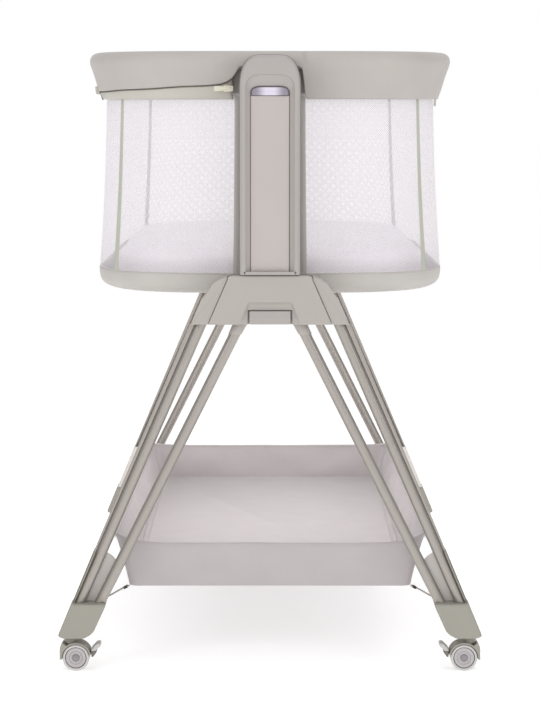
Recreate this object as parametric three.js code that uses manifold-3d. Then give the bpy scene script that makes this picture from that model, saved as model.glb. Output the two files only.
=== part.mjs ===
// Bedside bassinet on a folding A-frame stand with casters.
// Millimetres, +Z up. The origin is on the floor under the middle, -Y is the front end.
// The rear end is the front end turned half round the vertical axis.

import * as THREE from 'three';
import { mergeVertices } from 'three/addons/utils/BufferGeometryUtils.js';
import Module from 'manifold-3d';

const wasm = await Module();
wasm.setup();

// Gap kept between pieces that touch.
const FIT = 0.3;

// Plan outline of the bassinet at the lower edge of the rim band.
const HALF_WIDTH = 223;
const HALF_STRAIGHT = 280;
const CAP_DEPTH = 136;
const CAP_STEPS = 18;

// Heights of the bassinet.
const RIM_TOP = 813.3;
const RIM_TUBE_Z = 798;
const RIM_TUBE_OFFSET = 8.5;
const RIM_TUBE_RADIUS = 9;
const BAND_BOTTOM = 747;
const TRAY_TOP = 522;
const TRAY_BOTTOM = 494;
const MATTRESS_BOTTOM = 501;
const MATTRESS_TOP = 545;

// The fabric walls lean out below the rim band.
const WALL_THICKNESS = 2.5;
const WALL_TOP = 780;
const WALL_LEAN = 0.05;
const WALL_LEVEL = 745;

// End columns.
const COLUMN_HALF = 39.6;
const COLUMN_TOP = 807.4;
const COLUMN_BOTTOM = 524.3;
const COLUMN_FRONT = -491;
const COLUMN_BACK = -442;
const RECESS_FLOOR = -484;
const RECESS_HALF = 25;
const RECESS_TOP = 767;
const POST_HALF = 27;
const POST_FRONT = -479;
const POST_BACK = -449;
const POST_BOTTOM = 492;
const POST_TOP = 740;

// End frames: hub, legs and feet lie in one upright plane at each end.
const LEG_Y = -465;
const HUB_TOP = 524;
const HUB_BOTTOM = 460;
const HUB_FRONT = -486.3;
const PIVOT_X = -70;
const PIVOT_Z = 500;
const PIVOT_RADIUS = 6;
const SOCKET_FRONT = -483.8;
const TUBE_RADIUS = 7;
const LEG_TOP = 459.7;
const FOOT_TOP = 90.3;
const OUTER_TUBE = { top: -89.7, slope: 0.437 };
const INNER_TUBE = { top: -38.9, slope: 0.502 };

// Casters.
const WHEEL_X = -256.3;
const WHEEL_RADIUS = 17.6;
const STEM_X = -264;
const STEM_RADIUS = 4;
const HOOD_RADIUS = 20.3;

// Storage basket between the end frames.
const BASKET = { bottom: 105.5, top: 165.2, halfBottom: 189, halfTop: 198, halfLength: 440 };

// --- solids -----------------------------------------------------------------------------

/** Keeps only shared corner points, as a closed body needs. */
function welded(geometry) {
  const bare = geometry.clone();
  bare.deleteAttribute('normal');
  bare.deleteAttribute('uv');
  return mergeVertices(bare, 1e-4);
}

function toSolid(geometry) {
  const bare = welded(geometry);
  const vertProperties = new Float32Array(bare.attributes.position.array);
  const triVerts = new Uint32Array(bare.index.array);
  return new wasm.Manifold(new wasm.Mesh({ numProp: 3, vertProperties, triVerts }));
}

function fromSolid(solid) {
  const mesh = solid.getMesh();
  const geometry = new THREE.BufferGeometry();
  geometry.setAttribute('position', new THREE.BufferAttribute(mesh.vertProperties, 3));
  geometry.setIndex(new THREE.BufferAttribute(mesh.triVerts, 1));
  geometry.computeVertexNormals();
  return geometry;
}

function join(first, ...others) {
  return fromSolid(others.reduce((sum, next) => sum.add(toSolid(next)), toSolid(first)));
}

function cut(first, ...others) {
  return fromSolid(others.reduce((sum, next) => sum.subtract(toSolid(next)), toSolid(first)));
}

/** A box given by its limits along x, y and z. */
function block(x, y, z) {
  const geometry = new THREE.BoxGeometry(x[1] - x[0], y[1] - y[0], z[1] - z[0]);
  return geometry.translate((x[0] + x[1]) / 2, (y[0] + y[1]) / 2, (z[0] + z[1]) / 2);
}

/** An outline in the x-z plane, given depth from y = front to y = back. */
function plate(outline, front, back) {
  const shape = outline instanceof THREE.Shape ? outline : shapeOf(outline);
  const geometry = new THREE.ExtrudeGeometry(shape, {
    depth: back - front, bevelEnabled: false, curveSegments: 8,
  });
  return geometry.rotateX(Math.PI / 2).translate(0, back, 0);
}

function shapeOf(points) {
  return new THREE.Shape(points.map(([x, z]) => new THREE.Vector2(x, z)));
}

/** A round bar along y. */
function barAlongY(x, z, radius, front, back, sides = 16) {
  const geometry = new THREE.CylinderGeometry(radius, radius, back - front, sides);
  return geometry.translate(x, (front + back) / 2, z);
}

/** A round bar along z. */
function barAlongZ(x, y, radius, bottom, top, sides = 12) {
  const geometry = new THREE.CylinderGeometry(radius, radius, top - bottom, sides);
  return geometry.rotateX(Math.PI / 2).translate(x, y, (bottom + top) / 2);
}

/** The same geometry on the other side of x = 0, with its faces still pointing out. */
function mirrored(geometry) {
  const copy = geometry.index ? geometry.toNonIndexed() : geometry.clone();
  const p = copy.attributes.position;
  for (let i = 0; i < p.count; i += 3) {
    const [bx, by, bz] = [p.getX(i + 1), p.getY(i + 1), p.getZ(i + 1)];
    p.setXYZ(i, -p.getX(i), p.getY(i), p.getZ(i));
    p.setXYZ(i + 1, -p.getX(i + 2), p.getY(i + 2), p.getZ(i + 2));
    p.setXYZ(i + 2, -bx, by, bz);
  }
  copy.computeVertexNormals();
  return copy;
}

/** Joins equal rings of points into one closed surface. flat is the ring drawn in its plane. */
function skin(rings, flat) {
  const count = flat.length;
  const index = [];
  for (let r = 0; r + 1 < rings.length; r += 1) {
    for (let i = 0; i < count; i += 1) {
      const a = r * count + i;
      const b = r * count + ((i + 1) % count);
      index.push(a, b, b + count, a, b + count, a + count);
    }
  }
  const turn = Math.sign(THREE.ShapeUtils.area(flat));
  const last = (rings.length - 1) * count;
  for (const [a, b, c] of THREE.ShapeUtils.triangulateShape(flat, [])) {
    const way = Math.sign(THREE.ShapeUtils.area([flat[a], flat[b], flat[c]]));
    const [p, q] = way === turn ? [b, c] : [c, b];
    index.push(a, q, p, a + last, p + last, q + last);
  }
  const points = rings.flat();
  const geometry = new THREE.BufferGeometry().setFromPoints(points);
  geometry.setIndex(facesOut(points, index) ? index : index.reverse());
  geometry.computeVertexNormals();
  return geometry;
}

function facesOut(points, index) {
  let volume = 0;
  for (let i = 0; i < index.length; i += 3) {
    const [a, b, c] = [points[index[i]], points[index[i + 1]], points[index[i + 2]]];
    volume += a.dot(b.clone().cross(c));
  }
  return volume > 0;
}

// --- plan outline -----------------------------------------------------------------------

/** A point of the plan outline's end cap, pushed out by offset. psi runs from -90 to 90 degrees. */
function capPoint(psi, offset, end) {
  const across = Math.sin(psi);
  const along = Math.max(0, 1 - across ** 4) ** (1 / 1.9);
  return [
    (HALF_WIDTH + offset) * across,
    end * (HALF_STRAIGHT + (CAP_DEPTH + offset) * along),
  ];
}

/** Steps round one end cap, left to right at the front and right to left at the rear. */
function capPath(end) {
  return Array.from({ length: CAP_STEPS + 1 }, (_, i) => {
    const psi = -end * (-Math.PI / 2 + (Math.PI * i) / CAP_STEPS);
    return (offset) => capPoint(psi, offset, end);
  });
}

/** The two steps of a straight side, kept clear of the end caps. */
function sidePath(side) {
  const reach = HALF_STRAIGHT - FIT;
  return [-reach, reach].map((y) => (offset) => [side * (HALF_WIDTH + offset), y]);
}

/** Carries a closed profile of [offset, height] points along a path. */
function sweep(profile, path) {
  const rings = path.map((step) => profile.map(([offset, z]) => {
    const [x, y] = step(offset);
    return new THREE.Vector3(x, y, z);
  }));
  return skin(rings, profile.map(([offset, z]) => new THREE.Vector2(offset, z)));
}

/** Stacks whole plan outlines of [offset, height] levels into one solid. */
function stack(levels) {
  const path = [...capPath(-1), ...capPath(1)];
  const rings = levels.map(([offset, z]) => path.map((step) => {
    const [x, y] = step(offset);
    return new THREE.Vector3(x, y, z);
  }));
  return skin(rings, rings[0].map((p) => new THREE.Vector2(p.x, p.y)));
}

// --- bassinet ---------------------------------------------------------------------------

/** Shallow stiffened fabric tray with a lug at each end that carries the column. */
function baseTray() {
  const shell = stack([
    [-60, TRAY_BOTTOM], [-14, TRAY_BOTTOM + 0.5], [-2, 496.5], [6, 501], [10, 507], [11, 514],
    [11, TRAY_TOP], [5, TRAY_TOP], [5, MATTRESS_BOTTOM - FIT],
  ]);
  const lugs = [1, -1].flatMap((end) => [
    block([-30, 30], end > 0 ? [425, 438.5] : [-438.5, -425], [506, TRAY_TOP]),
    block([-30, 30], end > 0 ? [428, 438.5] : [-438.5, -428], [TRAY_TOP - 1, 560]),
    block([-30, 30], end > 0 ? [438, 441.7] : [-441.7, -438], [524.6, 560]),
  ]);
  return join(shell, ...lugs);
}

function mattress() {
  return stack([
    [-7, MATTRESS_BOTTOM], [-3, MATTRESS_BOTTOM + 5], [-3, MATTRESS_TOP - 8],
    [-6, MATTRESS_TOP - 2], [-11, MATTRESS_TOP],
  ]);
}

/** Fabric wall, standing on the tray and tucked up inside the rim cover. */
function wall(path) {
  const offsetAt = (z) => (WALL_LEVEL - z) * WALL_LEAN;
  const bottom = TRAY_TOP + FIT;
  return sweep([
    [offsetAt(bottom), bottom], [offsetAt(WALL_TOP), WALL_TOP],
    [offsetAt(WALL_TOP) - WALL_THICKNESS, WALL_TOP], [offsetAt(bottom) - WALL_THICKNESS, bottom],
  ], path);
}

/** Padded cover, wrapped over the rim tube and open downwards. */
function rimCover(path) {
  return sweep([
    [4.5, BAND_BOTTOM], [8.5, 752], [12.5, 765], [18, 785], [22, 799], [20.5, 807], [14, 812.5],
    [5, RIM_TOP], [-3, 811.5], [-7, 806], [-7.8, 798], [-7.8, 758],
    [-4.8, 758], [-4.8, 798], [-2.5, 805], [3, 808.5], [13, 808.3], [17.2, 804], [18.3, 798],
    [14.5, 784], [9.5, 766], [5.5, 754], [2.2, 749.5],
  ], path);
}

/** The cover of an end has a notch where the column's bracket comes through. */
function endRimCover(end) {
  const notch = block([-45, 45], end < 0 ? [-450, -413] : [413, 450], [740, 788.9]);
  return cut(rimCover(capPath(end)), notch);
}

function tubeProfile() {
  return Array.from({ length: 10 }, (_, i) => {
    const angle = (2 * Math.PI * i) / 10;
    return [
      RIM_TUBE_OFFSET + RIM_TUBE_RADIUS * Math.cos(angle),
      RIM_TUBE_Z + RIM_TUBE_RADIUS * Math.sin(angle),
    ];
  });
}

/** Bent tube round both ends and the fixed side. */
function rimTube() {
  return sweep(tubeProfile(), [...capPath(-1), ...capPath(1)]);
}

function dropRail() {
  return sweep(tubeProfile(), sidePath(-1));
}

function zipSlider() {
  const tab = block([-71, -59], [-433.6, -431], [761, 767]);
  const body = block([-60, -48], [-433.9, -429.9], [759.5, 768.5]);
  return join(body, tab);
}

// --- column -----------------------------------------------------------------------------

/** Upright outline with a domed top. */
function archShape(half, bottom, top, shoulder, flat) {
  const shape = new THREE.Shape();
  shape.moveTo(-half, bottom);
  shape.lineTo(half, bottom);
  shape.lineTo(half, top - shoulder);
  shape.bezierCurveTo(half, top - shoulder / 3, (half + flat) / 1.8, top, flat, top);
  shape.lineTo(-flat, top);
  shape.bezierCurveTo(-(half + flat) / 1.8, top, -half, top - shoulder / 3, -half, top - shoulder);
  return shape;
}

/** Hollow casing that slides on the stand's post, with a recess down its outer face. */
function columnCasing() {
  const body = plate(archShape(COLUMN_HALF, COLUMN_BOTTOM, COLUMN_TOP, 42, 13), COLUMN_FRONT, COLUMN_BACK);
  const shallow = plate(archShape(28, COLUMN_BOTTOM - 1, 781.4, 14, 10), COLUMN_FRONT - 1, -488);
  const deep = plate(
    archShape(RECESS_HALF, COLUMN_BOTTOM - 1, RECESS_TOP, 9, 12), COLUMN_FRONT - 1, RECESS_FLOOR);
  const pocket = block([-21.5, 21.5], [RECESS_FLOOR - 1, -480.5], [754.6, RECESS_TOP - 0.5]);
  const hollow = block(
    [-POST_HALF - 0.5, POST_HALF + 0.5], [POST_FRONT - FIT, POST_BACK + FIT],
    [COLUMN_BOTTOM - 1, POST_TOP + 6]);
  return cut(body, shallow, deep, pocket, hollow);
}

function inlayPanel() {
  return plate(shapeOf([
    [-24.6, COLUMN_BOTTOM + FIT], [24.6, COLUMN_BOTTOM + FIT], [24.6, 754.4], [-24.6, 754.4],
  ]), -486.5, RECESS_FLOOR - FIT);
}

function heightButton() {
  return plate(archShape(21, 754.9, RECESS_TOP - 0.9, 6, 12), -487.2, RECESS_FLOOR - FIT);
}

function post() {
  const x = [-POST_HALF, POST_HALF];
  return block(x, [POST_FRONT, POST_BACK], [POST_BOTTOM, POST_TOP]);
}

/** Black bracket from the casing to the rim tube. */
function rimBracket() {
  return plate(archShape(37, 749, 788.6, 12, 20), COLUMN_BACK + FIT, -416.6);
}

// --- hub --------------------------------------------------------------------------------

function hubCover() {
  const face = plate(shapeOf([
    [-48, HUB_TOP], [-54.4, 522.3], [-54.8, 518.4], [-78.2, 465], [-79.8, HUB_BOTTOM],
    [-28.5, HUB_BOTTOM], [-28.5, 479], [28.5, 479], [28.5, HUB_BOTTOM], [79.8, HUB_BOTTOM],
    [78.2, 465], [54.8, 518.4], [54.4, 522.3], [48, HUB_TOP],
  ]), HUB_FRONT, HUB_FRONT + 2.2);
  const roof = block([-48, 48], [HUB_FRONT + 1, POST_FRONT - FIT], [519, HUB_TOP]);
  return join(face, roof);
}

/** Back plate with the two pins that the legs turn on. */
function hubBack() {
  const face = plate(shapeOf([
    [-48, HUB_TOP], [-63.5, 519.8], [-74.8, 512.7], [-83.2, 498.7], [-98, 465], [-98, HUB_BOTTOM],
    [98, HUB_BOTTOM], [98, 465], [83.2, 498.7], [74.8, 512.7], [63.5, 519.8], [48, HUB_TOP],
  ]), POST_BACK + 0.4, -441);
  const pins = [PIVOT_X, -PIVOT_X].map((x) => barAlongY(x, PIVOT_Z, PIVOT_RADIUS, -481, -445));
  return join(face, ...pins);
}

function foldButton() {
  const front = -488.6;
  const profile = [
    [front + 2.5, 477.8], [front, 469], [front + 0.4, 460.6], [-480.5, 460.6], [-480.5, 477.8],
  ];
  const rings = [-27, 27].map((x) => profile.map(([y, z]) => new THREE.Vector3(x, y, z)));
  return skin(rings, profile.map(([y, z]) => new THREE.Vector2(y, z)));
}

// --- leg, drawn for the left side of the front end ---------------------------------------

/** The leg's head: a flank flush with the hub and an arm for the inner tube behind the cover. */
function legSocket() {
  const flank = plate(shapeOf([
    [-55.3, 521.8], [-63.5, 519.8], [-74.8, 512.7], [-83.2, 498.7], [-88.8, 493.1],
    [-101.6, 463.5], [-103, HUB_BOTTOM], [-80.4, HUB_BOTTOM], [-78.6, 465.2], [-55.3, 518.4],
  ].reverse()), SOCKET_FRONT, -453);
  const arm = plate(shapeOf([
    [-95, HUB_BOTTOM], [-30, HUB_BOTTOM], [-30, 466], [-46, 481], [-58, 508], [-75, 508],
  ]), -477, -453);
  const bore = barAlongY(PIVOT_X, PIVOT_Z, PIVOT_RADIUS + 0.35, -481.6, -440);
  return cut(join(flank, arm), bore);
}

/** A straight bar between two level cuts. outline gives its section for a share of its width. */
function leaningBar(axis, outlineAt) {
  const bottom = FOOT_TOP + FIT;
  const stretch = Math.hypot(1, axis.slope);
  const rings = [bottom, LEG_TOP].map((z) => {
    const centre = axis.top - (LEG_TOP - z) * axis.slope;
    return outlineAt((z - bottom) / (LEG_TOP - bottom)).map(([x, y]) => (
      new THREE.Vector3(centre + x * stretch, LEG_Y + y, z)));
  });
  return skin(rings, outlineAt(0).map(([x, y]) => new THREE.Vector2(x, y)));
}

function arc(radius, from, to, steps) {
  return Array.from({ length: steps + 1 }, (_, i) => {
    const angle = THREE.MathUtils.degToRad(from + ((to - from) * i) / steps);
    return [radius * Math.cos(angle), radius * Math.sin(angle)];
  });
}

function innerTube() {
  const section = arc(TUBE_RADIUS, 0, 330, 11);
  return leaningBar(INNER_TUBE, () => section);
}

/** The outer tube has a rib down its outer side, wider at the top. */
function outerTube() {
  return leaningBar(OUTER_TUBE, (height) => {
    const reach = -TUBE_RADIUS - 2 - 4.6 * height;
    return [...arc(TUBE_RADIUS, -148, 148, 12), [reach + 1, 3.7], [reach, 2.5], [reach, -2.5],
      [reach + 1, -3.7]];
  });
}

/** Foot: a closed block under both tubes and a back plate that rises behind them. */
function footShell() {
  const foot = plate(shapeOf([
    [-280, 47], [-272, 44.3], [-245, 44.3], [-237, 48.8], [-232, 53.7], [-215.5, 89.4],
    [-217, FOOT_TOP], [-262, FOOT_TOP],
  ]), -484, -447);
  const back = plate(shapeOf([
    [-262, 89], [-219, 89], [-216.5, 100], [-202, 136], [-203.5, 143], [-209, 149], [-221, 157.5],
    [-232.5, 159.3],
  ]), LEG_Y + TUBE_RADIUS + 0.4, -447);
  const bore = barAlongZ(STEM_X, LEG_Y, STEM_RADIUS + 0.4, 40, 60);
  return cut(join(foot, back), bore);
}

/** Caster fork: a hood over the twin wheels, a web between them and the swivel stem. */
function casterBody() {
  const rounded = arc(HOOD_RADIUS, 12, 128, 8).map(([x, z]) => [WHEEL_X + x, WHEEL_RADIUS + z]);
  const straight = [[-277.5, 30], [-277.5, 15]];
  const side = [...rounded, ...straight, [WHEEL_X - 5, WHEEL_RADIUS - 5], [WHEEL_X + 6, WHEEL_RADIUS - 3]];
  const hood = plate(shapeOf([...side]), LEG_Y - 14.5, LEG_Y + 14.5);
  const well = barAlongY(WHEEL_X, WHEEL_RADIUS, WHEEL_RADIUS + 0.6, LEG_Y - 16, LEG_Y + 16, 28);
  const web = plate(shapeOf([...side]), LEG_Y - 2.6, LEG_Y + 2.6);
  const neck = barAlongZ(STEM_X, LEG_Y, 8.5, 33, 43.9, 14);
  const stem = barAlongZ(STEM_X, LEG_Y, STEM_RADIUS, 40, 58);
  const bore = barAlongY(WHEEL_X, WHEEL_RADIUS, 2.9, LEG_Y - 5, LEG_Y + 5, 12);
  return cut(join(cut(hood, well), web, cut(neck, well), stem), bore);
}

/** Two wheels on one axle. */
function casterWheels() {
  const half = [
    [2.5, 3.1], [16.6, 3.1], [WHEEL_RADIUS, 4.1], [WHEEL_RADIUS, 13], [16.6, 14], [0, 14],
  ];
  const other = half.map(([r, y]) => [r, -y]).reverse();
  const profile = [...other, ...half].map(([r, y]) => new THREE.Vector2(r, y));
  return new THREE.LatheGeometry(profile, 24).translate(WHEEL_X, LEG_Y, WHEEL_RADIUS);
}

function brakePedal() {
  return plate(shapeOf([
    [-236, 18.4], [-233.8, 18], [-223.5, 32.5], [-225, 36], [-229, 35.5], [-236.2, 27.5],
  ]), LEG_Y - 12, LEG_Y + 12);
}

// --- basket -----------------------------------------------------------------------------

/** A level rectangle with cut corners. */
function rectangle(halfX, halfY, z) {
  const corner = 12;
  const quarter = [[halfX, halfY - corner], [halfX - corner, halfY]];
  const half = [...quarter, ...quarter.map(([x, y]) => [-x, y]).reverse()];
  const ring = [...half, ...half.map(([x, y]) => [-x, -y])];
  return ring.map(([x, y]) => new THREE.Vector3(x, y, z));
}

/** Open fabric basket with upright ends and sides that lean out. */
function basket() {
  const { bottom, top, halfBottom, halfTop, halfLength } = BASKET;
  const cloth = 3;
  const rings = [
    rectangle(halfBottom, halfLength, bottom), rectangle(halfTop, halfLength, top),
    rectangle(halfTop - cloth, halfLength - cloth, top),
    rectangle(halfBottom - cloth, halfLength - cloth, bottom + cloth),
  ];
  return skin(rings, rings[0].map((p) => new THREE.Vector2(p.x, p.y)));
}

function basketBoard() {
  const low = BASKET.bottom + 3 + FIT;
  const across = BASKET.halfBottom - 11;
  const along = BASKET.halfLength - 11;
  return block([-across, across], [-along, along], [low, low + 3]);
}

// --- assembly ---------------------------------------------------------------------------

const paint = (color, roughness, metalness = 0) => (
  new THREE.MeshStandardMaterial({ color, roughness, metalness }));

const MATERIAL = {
  band: paint('#c5c1be', 0.9),
  mesh: paint('#f3f0f4', 0.9),
  tray: paint('#c0bdb6', 0.9),
  mattress: paint('#f1eff0', 0.9),
  plastic: paint('#bab8b3', 0.45),
  inlay: paint('#c6bfbb', 0.35),
  button: paint('#cfcbd3', 0.2),
  black: paint('#2c2b2a', 0.6),
  tube: paint('#aeaaa4', 0.35, 0.4),
  foot: paint('#a7a69c', 0.5),
  wheel: paint('#c6c4c4', 0.5),
  basket: paint('#cbc2c0', 0.9),
  zip: paint('#e4dfcf', 0.4),
};

const model = new THREE.Group();

function add(parent, name, geometry, material) {
  const mesh = new THREE.Mesh(geometry, material);
  mesh.name = name;
  parent.add(mesh);
}

function addBassinet() {
  add(model, 'base_tray', baseTray(), MATERIAL.tray);
  add(model, 'mattress', mattress(), MATERIAL.mattress);
  add(model, 'front_wall', wall(capPath(-1)), MATERIAL.mesh);
  add(model, 'rear_wall', wall(capPath(1)), MATERIAL.mesh);
  add(model, 'right_wall', wall(sidePath(1)), MATERIAL.mesh);
  add(model, 'drop_wall', wall(sidePath(-1)), MATERIAL.mesh);
  add(model, 'front_rim_cover', endRimCover(-1), MATERIAL.band);
  add(model, 'rear_rim_cover', endRimCover(1), MATERIAL.band);
  add(model, 'right_rim_cover', rimCover(sidePath(1)), MATERIAL.band);
  add(model, 'drop_rim_cover', rimCover(sidePath(-1)), MATERIAL.band);
  add(model, 'rim_tube', rimTube(), MATERIAL.tube);
  add(model, 'drop_rail', dropRail(), MATERIAL.tube);
  add(model, 'zip_slider', zipSlider(), MATERIAL.zip);
}

/** One end frame. The rear one is turned half round, so its own left is the object's right. */
function addEnd(end, turned) {
  const group = new THREE.Group();
  group.rotation.z = turned ? Math.PI : 0;
  model.add(group);
  add(group, `${end}_column_casing`, columnCasing(), MATERIAL.plastic);
  add(group, `${end}_inlay_panel`, inlayPanel(), MATERIAL.inlay);
  add(group, `${end}_height_button`, heightButton(), MATERIAL.button);
  add(group, `${end}_rim_bracket`, rimBracket(), MATERIAL.black);
  add(group, `${end}_post`, post(), MATERIAL.tube);
  add(group, `${end}_hub_cover`, hubCover(), MATERIAL.plastic);
  add(group, `${end}_hub_back`, hubBack(), MATERIAL.plastic);
  add(group, `${end}_fold_button`, foldButton(), MATERIAL.plastic);
  for (const side of ['left', 'right']) {
    const flip = side === 'right' ? mirrored : (geometry) => geometry;
    const seen = turned ? { left: 'right', right: 'left' }[side] : side;
    const leg = `${end}_${seen}`;
    add(group, `${leg}_leg_socket`, flip(legSocket()), MATERIAL.plastic);
    add(group, `${leg}_outer_tube`, flip(outerTube()), MATERIAL.tube);
    add(group, `${leg}_inner_tube`, flip(innerTube()), MATERIAL.tube);
    add(group, `${leg}_foot_shell`, flip(footShell()), MATERIAL.foot);
    add(group, `${leg}_caster_body`, flip(casterBody()), MATERIAL.foot);
    add(group, `${leg}_caster_wheels`, flip(casterWheels()), MATERIAL.wheel);
    add(group, `${leg}_brake_pedal`, flip(brakePedal()), MATERIAL.wheel);
  }
}

addBassinet();
addEnd('front', false);
addEnd('rear', true);
add(model, 'basket', basket(), MATERIAL.basket);
add(model, 'basket_board', basketBoard(), MATERIAL.basket);

export default model;
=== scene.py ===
"""Bedside bassinet on a folding stand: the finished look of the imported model."""
import math
import bpy
import numpy as np
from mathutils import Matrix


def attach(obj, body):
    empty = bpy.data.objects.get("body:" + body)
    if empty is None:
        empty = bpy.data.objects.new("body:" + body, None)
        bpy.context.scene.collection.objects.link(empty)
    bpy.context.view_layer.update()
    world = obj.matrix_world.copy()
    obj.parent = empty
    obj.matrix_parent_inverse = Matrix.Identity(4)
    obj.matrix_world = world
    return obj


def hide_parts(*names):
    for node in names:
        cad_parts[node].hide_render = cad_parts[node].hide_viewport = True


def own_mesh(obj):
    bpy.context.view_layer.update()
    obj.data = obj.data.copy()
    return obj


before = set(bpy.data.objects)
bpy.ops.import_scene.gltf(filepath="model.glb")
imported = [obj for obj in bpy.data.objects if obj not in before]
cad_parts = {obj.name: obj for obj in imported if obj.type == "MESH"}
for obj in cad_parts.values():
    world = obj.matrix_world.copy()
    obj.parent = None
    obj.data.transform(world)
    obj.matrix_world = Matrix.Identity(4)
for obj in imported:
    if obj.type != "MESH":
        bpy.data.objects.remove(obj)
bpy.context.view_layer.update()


# --- Camera and studio -------------------------------------------------------------------
# A long lens stands three metres from the front end frame, a little above the feet,
# and looks along the bassinet, tipped down a few degrees.

camera_data = bpy.data.cameras.new("studio_camera")
camera_data.lens = 115.55
camera_data.sensor_width = 36.0
camera_data.dof.use_dof = False
camera = bpy.data.objects.new("studio_camera", camera_data)
camera.location = (0.0, -3.465, 0.7494)
camera.rotation_euler = (math.radians(90 - 6.42), 0.0, 0.0)
bpy.context.scene.collection.objects.link(camera)
bpy.context.scene.camera = camera
bpy.context.scene.view_settings.view_transform = "Standard"


def colour(code):
    """Linear colour of an sRGB hex code."""
    channels = [int(code[i:i + 2], 16) / 255 for i in (1, 3, 5)]
    linear = [c / 12.92 if c <= 0.04045 else ((c + 0.055) / 1.055) ** 2.4 for c in channels]
    return linear + [1.0]


def node(tree, kind, inputs=None, **settings):
    """Adds a node with its settings; inputs gives values, or sockets to link."""
    made = tree.nodes.new("ShaderNode" + kind)
    for key, value in settings.items():
        setattr(made, key, value)
    for key, value in (inputs or {}).items():
        if isinstance(value, bpy.types.NodeSocket):
            tree.links.new(value, made.inputs[key])
        else:
            made.inputs[key].default_value = value
    return made


def blank_material(name):
    """A named material with an empty node tree."""
    material = bpy.data.materials.new(name)
    material.use_nodes = True
    material.node_tree.nodes.clear()
    return material, material.node_tree


def lit_acrylic(name, code, glow):
    """White acrylic lit from below: a matt skin with the faintest mottling over an even glow."""
    material, tree = blank_material(name)
    place = node(tree, "TexCoord")
    cloud = node(tree, "TexNoise", {"Vector": place.outputs["Object"], "Scale": 3.0})
    tone = node(tree, "MapRange", {"Value": cloud.outputs["Fac"], "To Min": 0.99, "To Max": 1.0})
    mix = node(tree, "Mix", {6: (1, 1, 1, 1), 7: colour(code), "Factor": tone.outputs[0]},
               data_type="RGBA")
    skin = node(tree, "BsdfDiffuse", {"Color": mix.outputs[2]})
    lit = node(tree, "Emission", {"Color": (1, 1, 1, 1), "Strength": glow})
    both = node(tree, "AddShader", {0: skin.outputs[0], 1: lit.outputs[0]})
    node(tree, "OutputMaterial", {"Surface": both.outputs[0]})
    return material


floor_mesh = bpy.data.meshes.new("floor")
reach = 14.0
floor_mesh.from_pydata([(-reach, -6, 0), (reach, -6, 0), (reach, 40, 0), (-reach, 40, 0)], [],
                       [(0, 1, 2, 3)])
floor = bpy.data.objects.new("floor", floor_mesh)
floor_mesh.materials.append(lit_acrylic("backlit_white_acrylic", "#ececec", 0.46))
bpy.context.scene.collection.objects.link(floor)

# White all round, dimmer at the two sides so that round metal gets darker edges.
world = bpy.data.worlds.new("studio")
world.use_nodes = True
world.node_tree.nodes.clear()
sky = world.node_tree
way = node(sky, "TexCoord")
split = node(sky, "SeparateXYZ", {"Vector": way.outputs["Generated"]})
side = node(sky, "Math", {0: split.outputs["X"]}, operation="ABSOLUTE")
dim = node(sky, "MapRange", {"Value": side.outputs[0], "From Min": 0.15, "From Max": 0.95,
                             "To Min": 0.8, "To Max": 0.36})
light = node(sky, "Background", {"Color": (1, 1, 1, 1), "Strength": dim.outputs[0]})
paper = node(sky, "Background", {"Color": (1, 1, 1, 1), "Strength": 1.0})
seen = node(sky, "LightPath")
pick = node(sky, "MixShader", {0: seen.outputs["Is Camera Ray"], 1: light.outputs[0],
                               2: paper.outputs[0]})
node(sky, "OutputWorld", {"Surface": pick.outputs[0]})
bpy.context.scene.world = world


def softbox(name, place, aim, size, power):
    """A square area light at place, turned to aim."""
    data = bpy.data.lights.new(name, "AREA")
    data.shape = "SQUARE"
    data.size = size
    data.energy = power
    lamp = bpy.data.objects.new(name, data)
    lamp.location = place
    away = np.array(place, float) - np.array(aim, float)
    lamp.rotation_euler = (math.acos(away[2] / np.linalg.norm(away)), 0,
                           math.atan2(away[1], away[0]) + math.pi / 2)
    bpy.context.scene.collection.objects.link(lamp)
    return lamp


softbox("overhead_softbox", (0.3, 0.2, 3.2), (0, 0, 0.4), 2.4, 16)
softbox("left_softbox", (-1.9, -2.6, 1.7), (0, 0, 0.5), 1.2, 12)
softbox("front_softbox", (0.0, -2.7, 1.45), (0, 0, 0.2), 1.6, 5)
softbox("right_softbox", (2.1, -2.4, 1.5), (0, 0, 0.4), 1.2, 9)


# A fill panel hangs out of sight between tray and basket and lights the basket's inside.
fill = softbox("under_tray_fill", (0, 0, 0.46), (0, 0, 0), 0.3, 1.9)
fill.data.shape = "RECTANGLE"
fill.data.size_y = 0.75
fill.rotation_euler = (0, 0, 0)
fill.visible_camera = False
fill.visible_glossy = False


# --- Rim band ----------------------------------------------------------------------------
# A padded cover of tight woven polyester, sewn as one sleeve over the bent rim tube.
# Its edge is turned in; on the drop side's half a zip closes it to the wall below.

MM = 0.001
half_width = 223 * MM
half_straight = 280 * MM
cap_depth = 136 * MM
fit = 0.3 * MM


def cap(psi, end):
    """Plan outline of an end: x = half_width sin(psi) and
    y = straight + depth (1 - sin^4 psi)^(1/1.9).
    Returns the points and how far each moves for a unit of offset."""
    across = np.sin(psi)
    along = np.clip(1 - across ** 4, 0, None) ** (1 / 1.9)
    points = np.stack([half_width * across, end * (half_straight + cap_depth * along)], 1)
    return points, np.stack([across, end * along], 1)


def straight(side, start, stop, count):
    """A long side of the plan outline."""
    y = np.linspace(start, stop, count)
    points = np.stack([np.full(count, side * half_width), y], 1)
    return points, np.tile([float(side), 0.0], (count, 1))


def cap_angles():
    """Angles round an end, closest together behind the column, where the edge turns up."""
    near = np.arcsin(np.arange(-64, 64.1, 1.6) * MM / half_width)
    wide = np.radians(np.linspace(-90, 90, 73))
    return np.concatenate([wide[wide < near[0] - 0.01], near, wide[wide > near[-1] + 0.01]])


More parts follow.
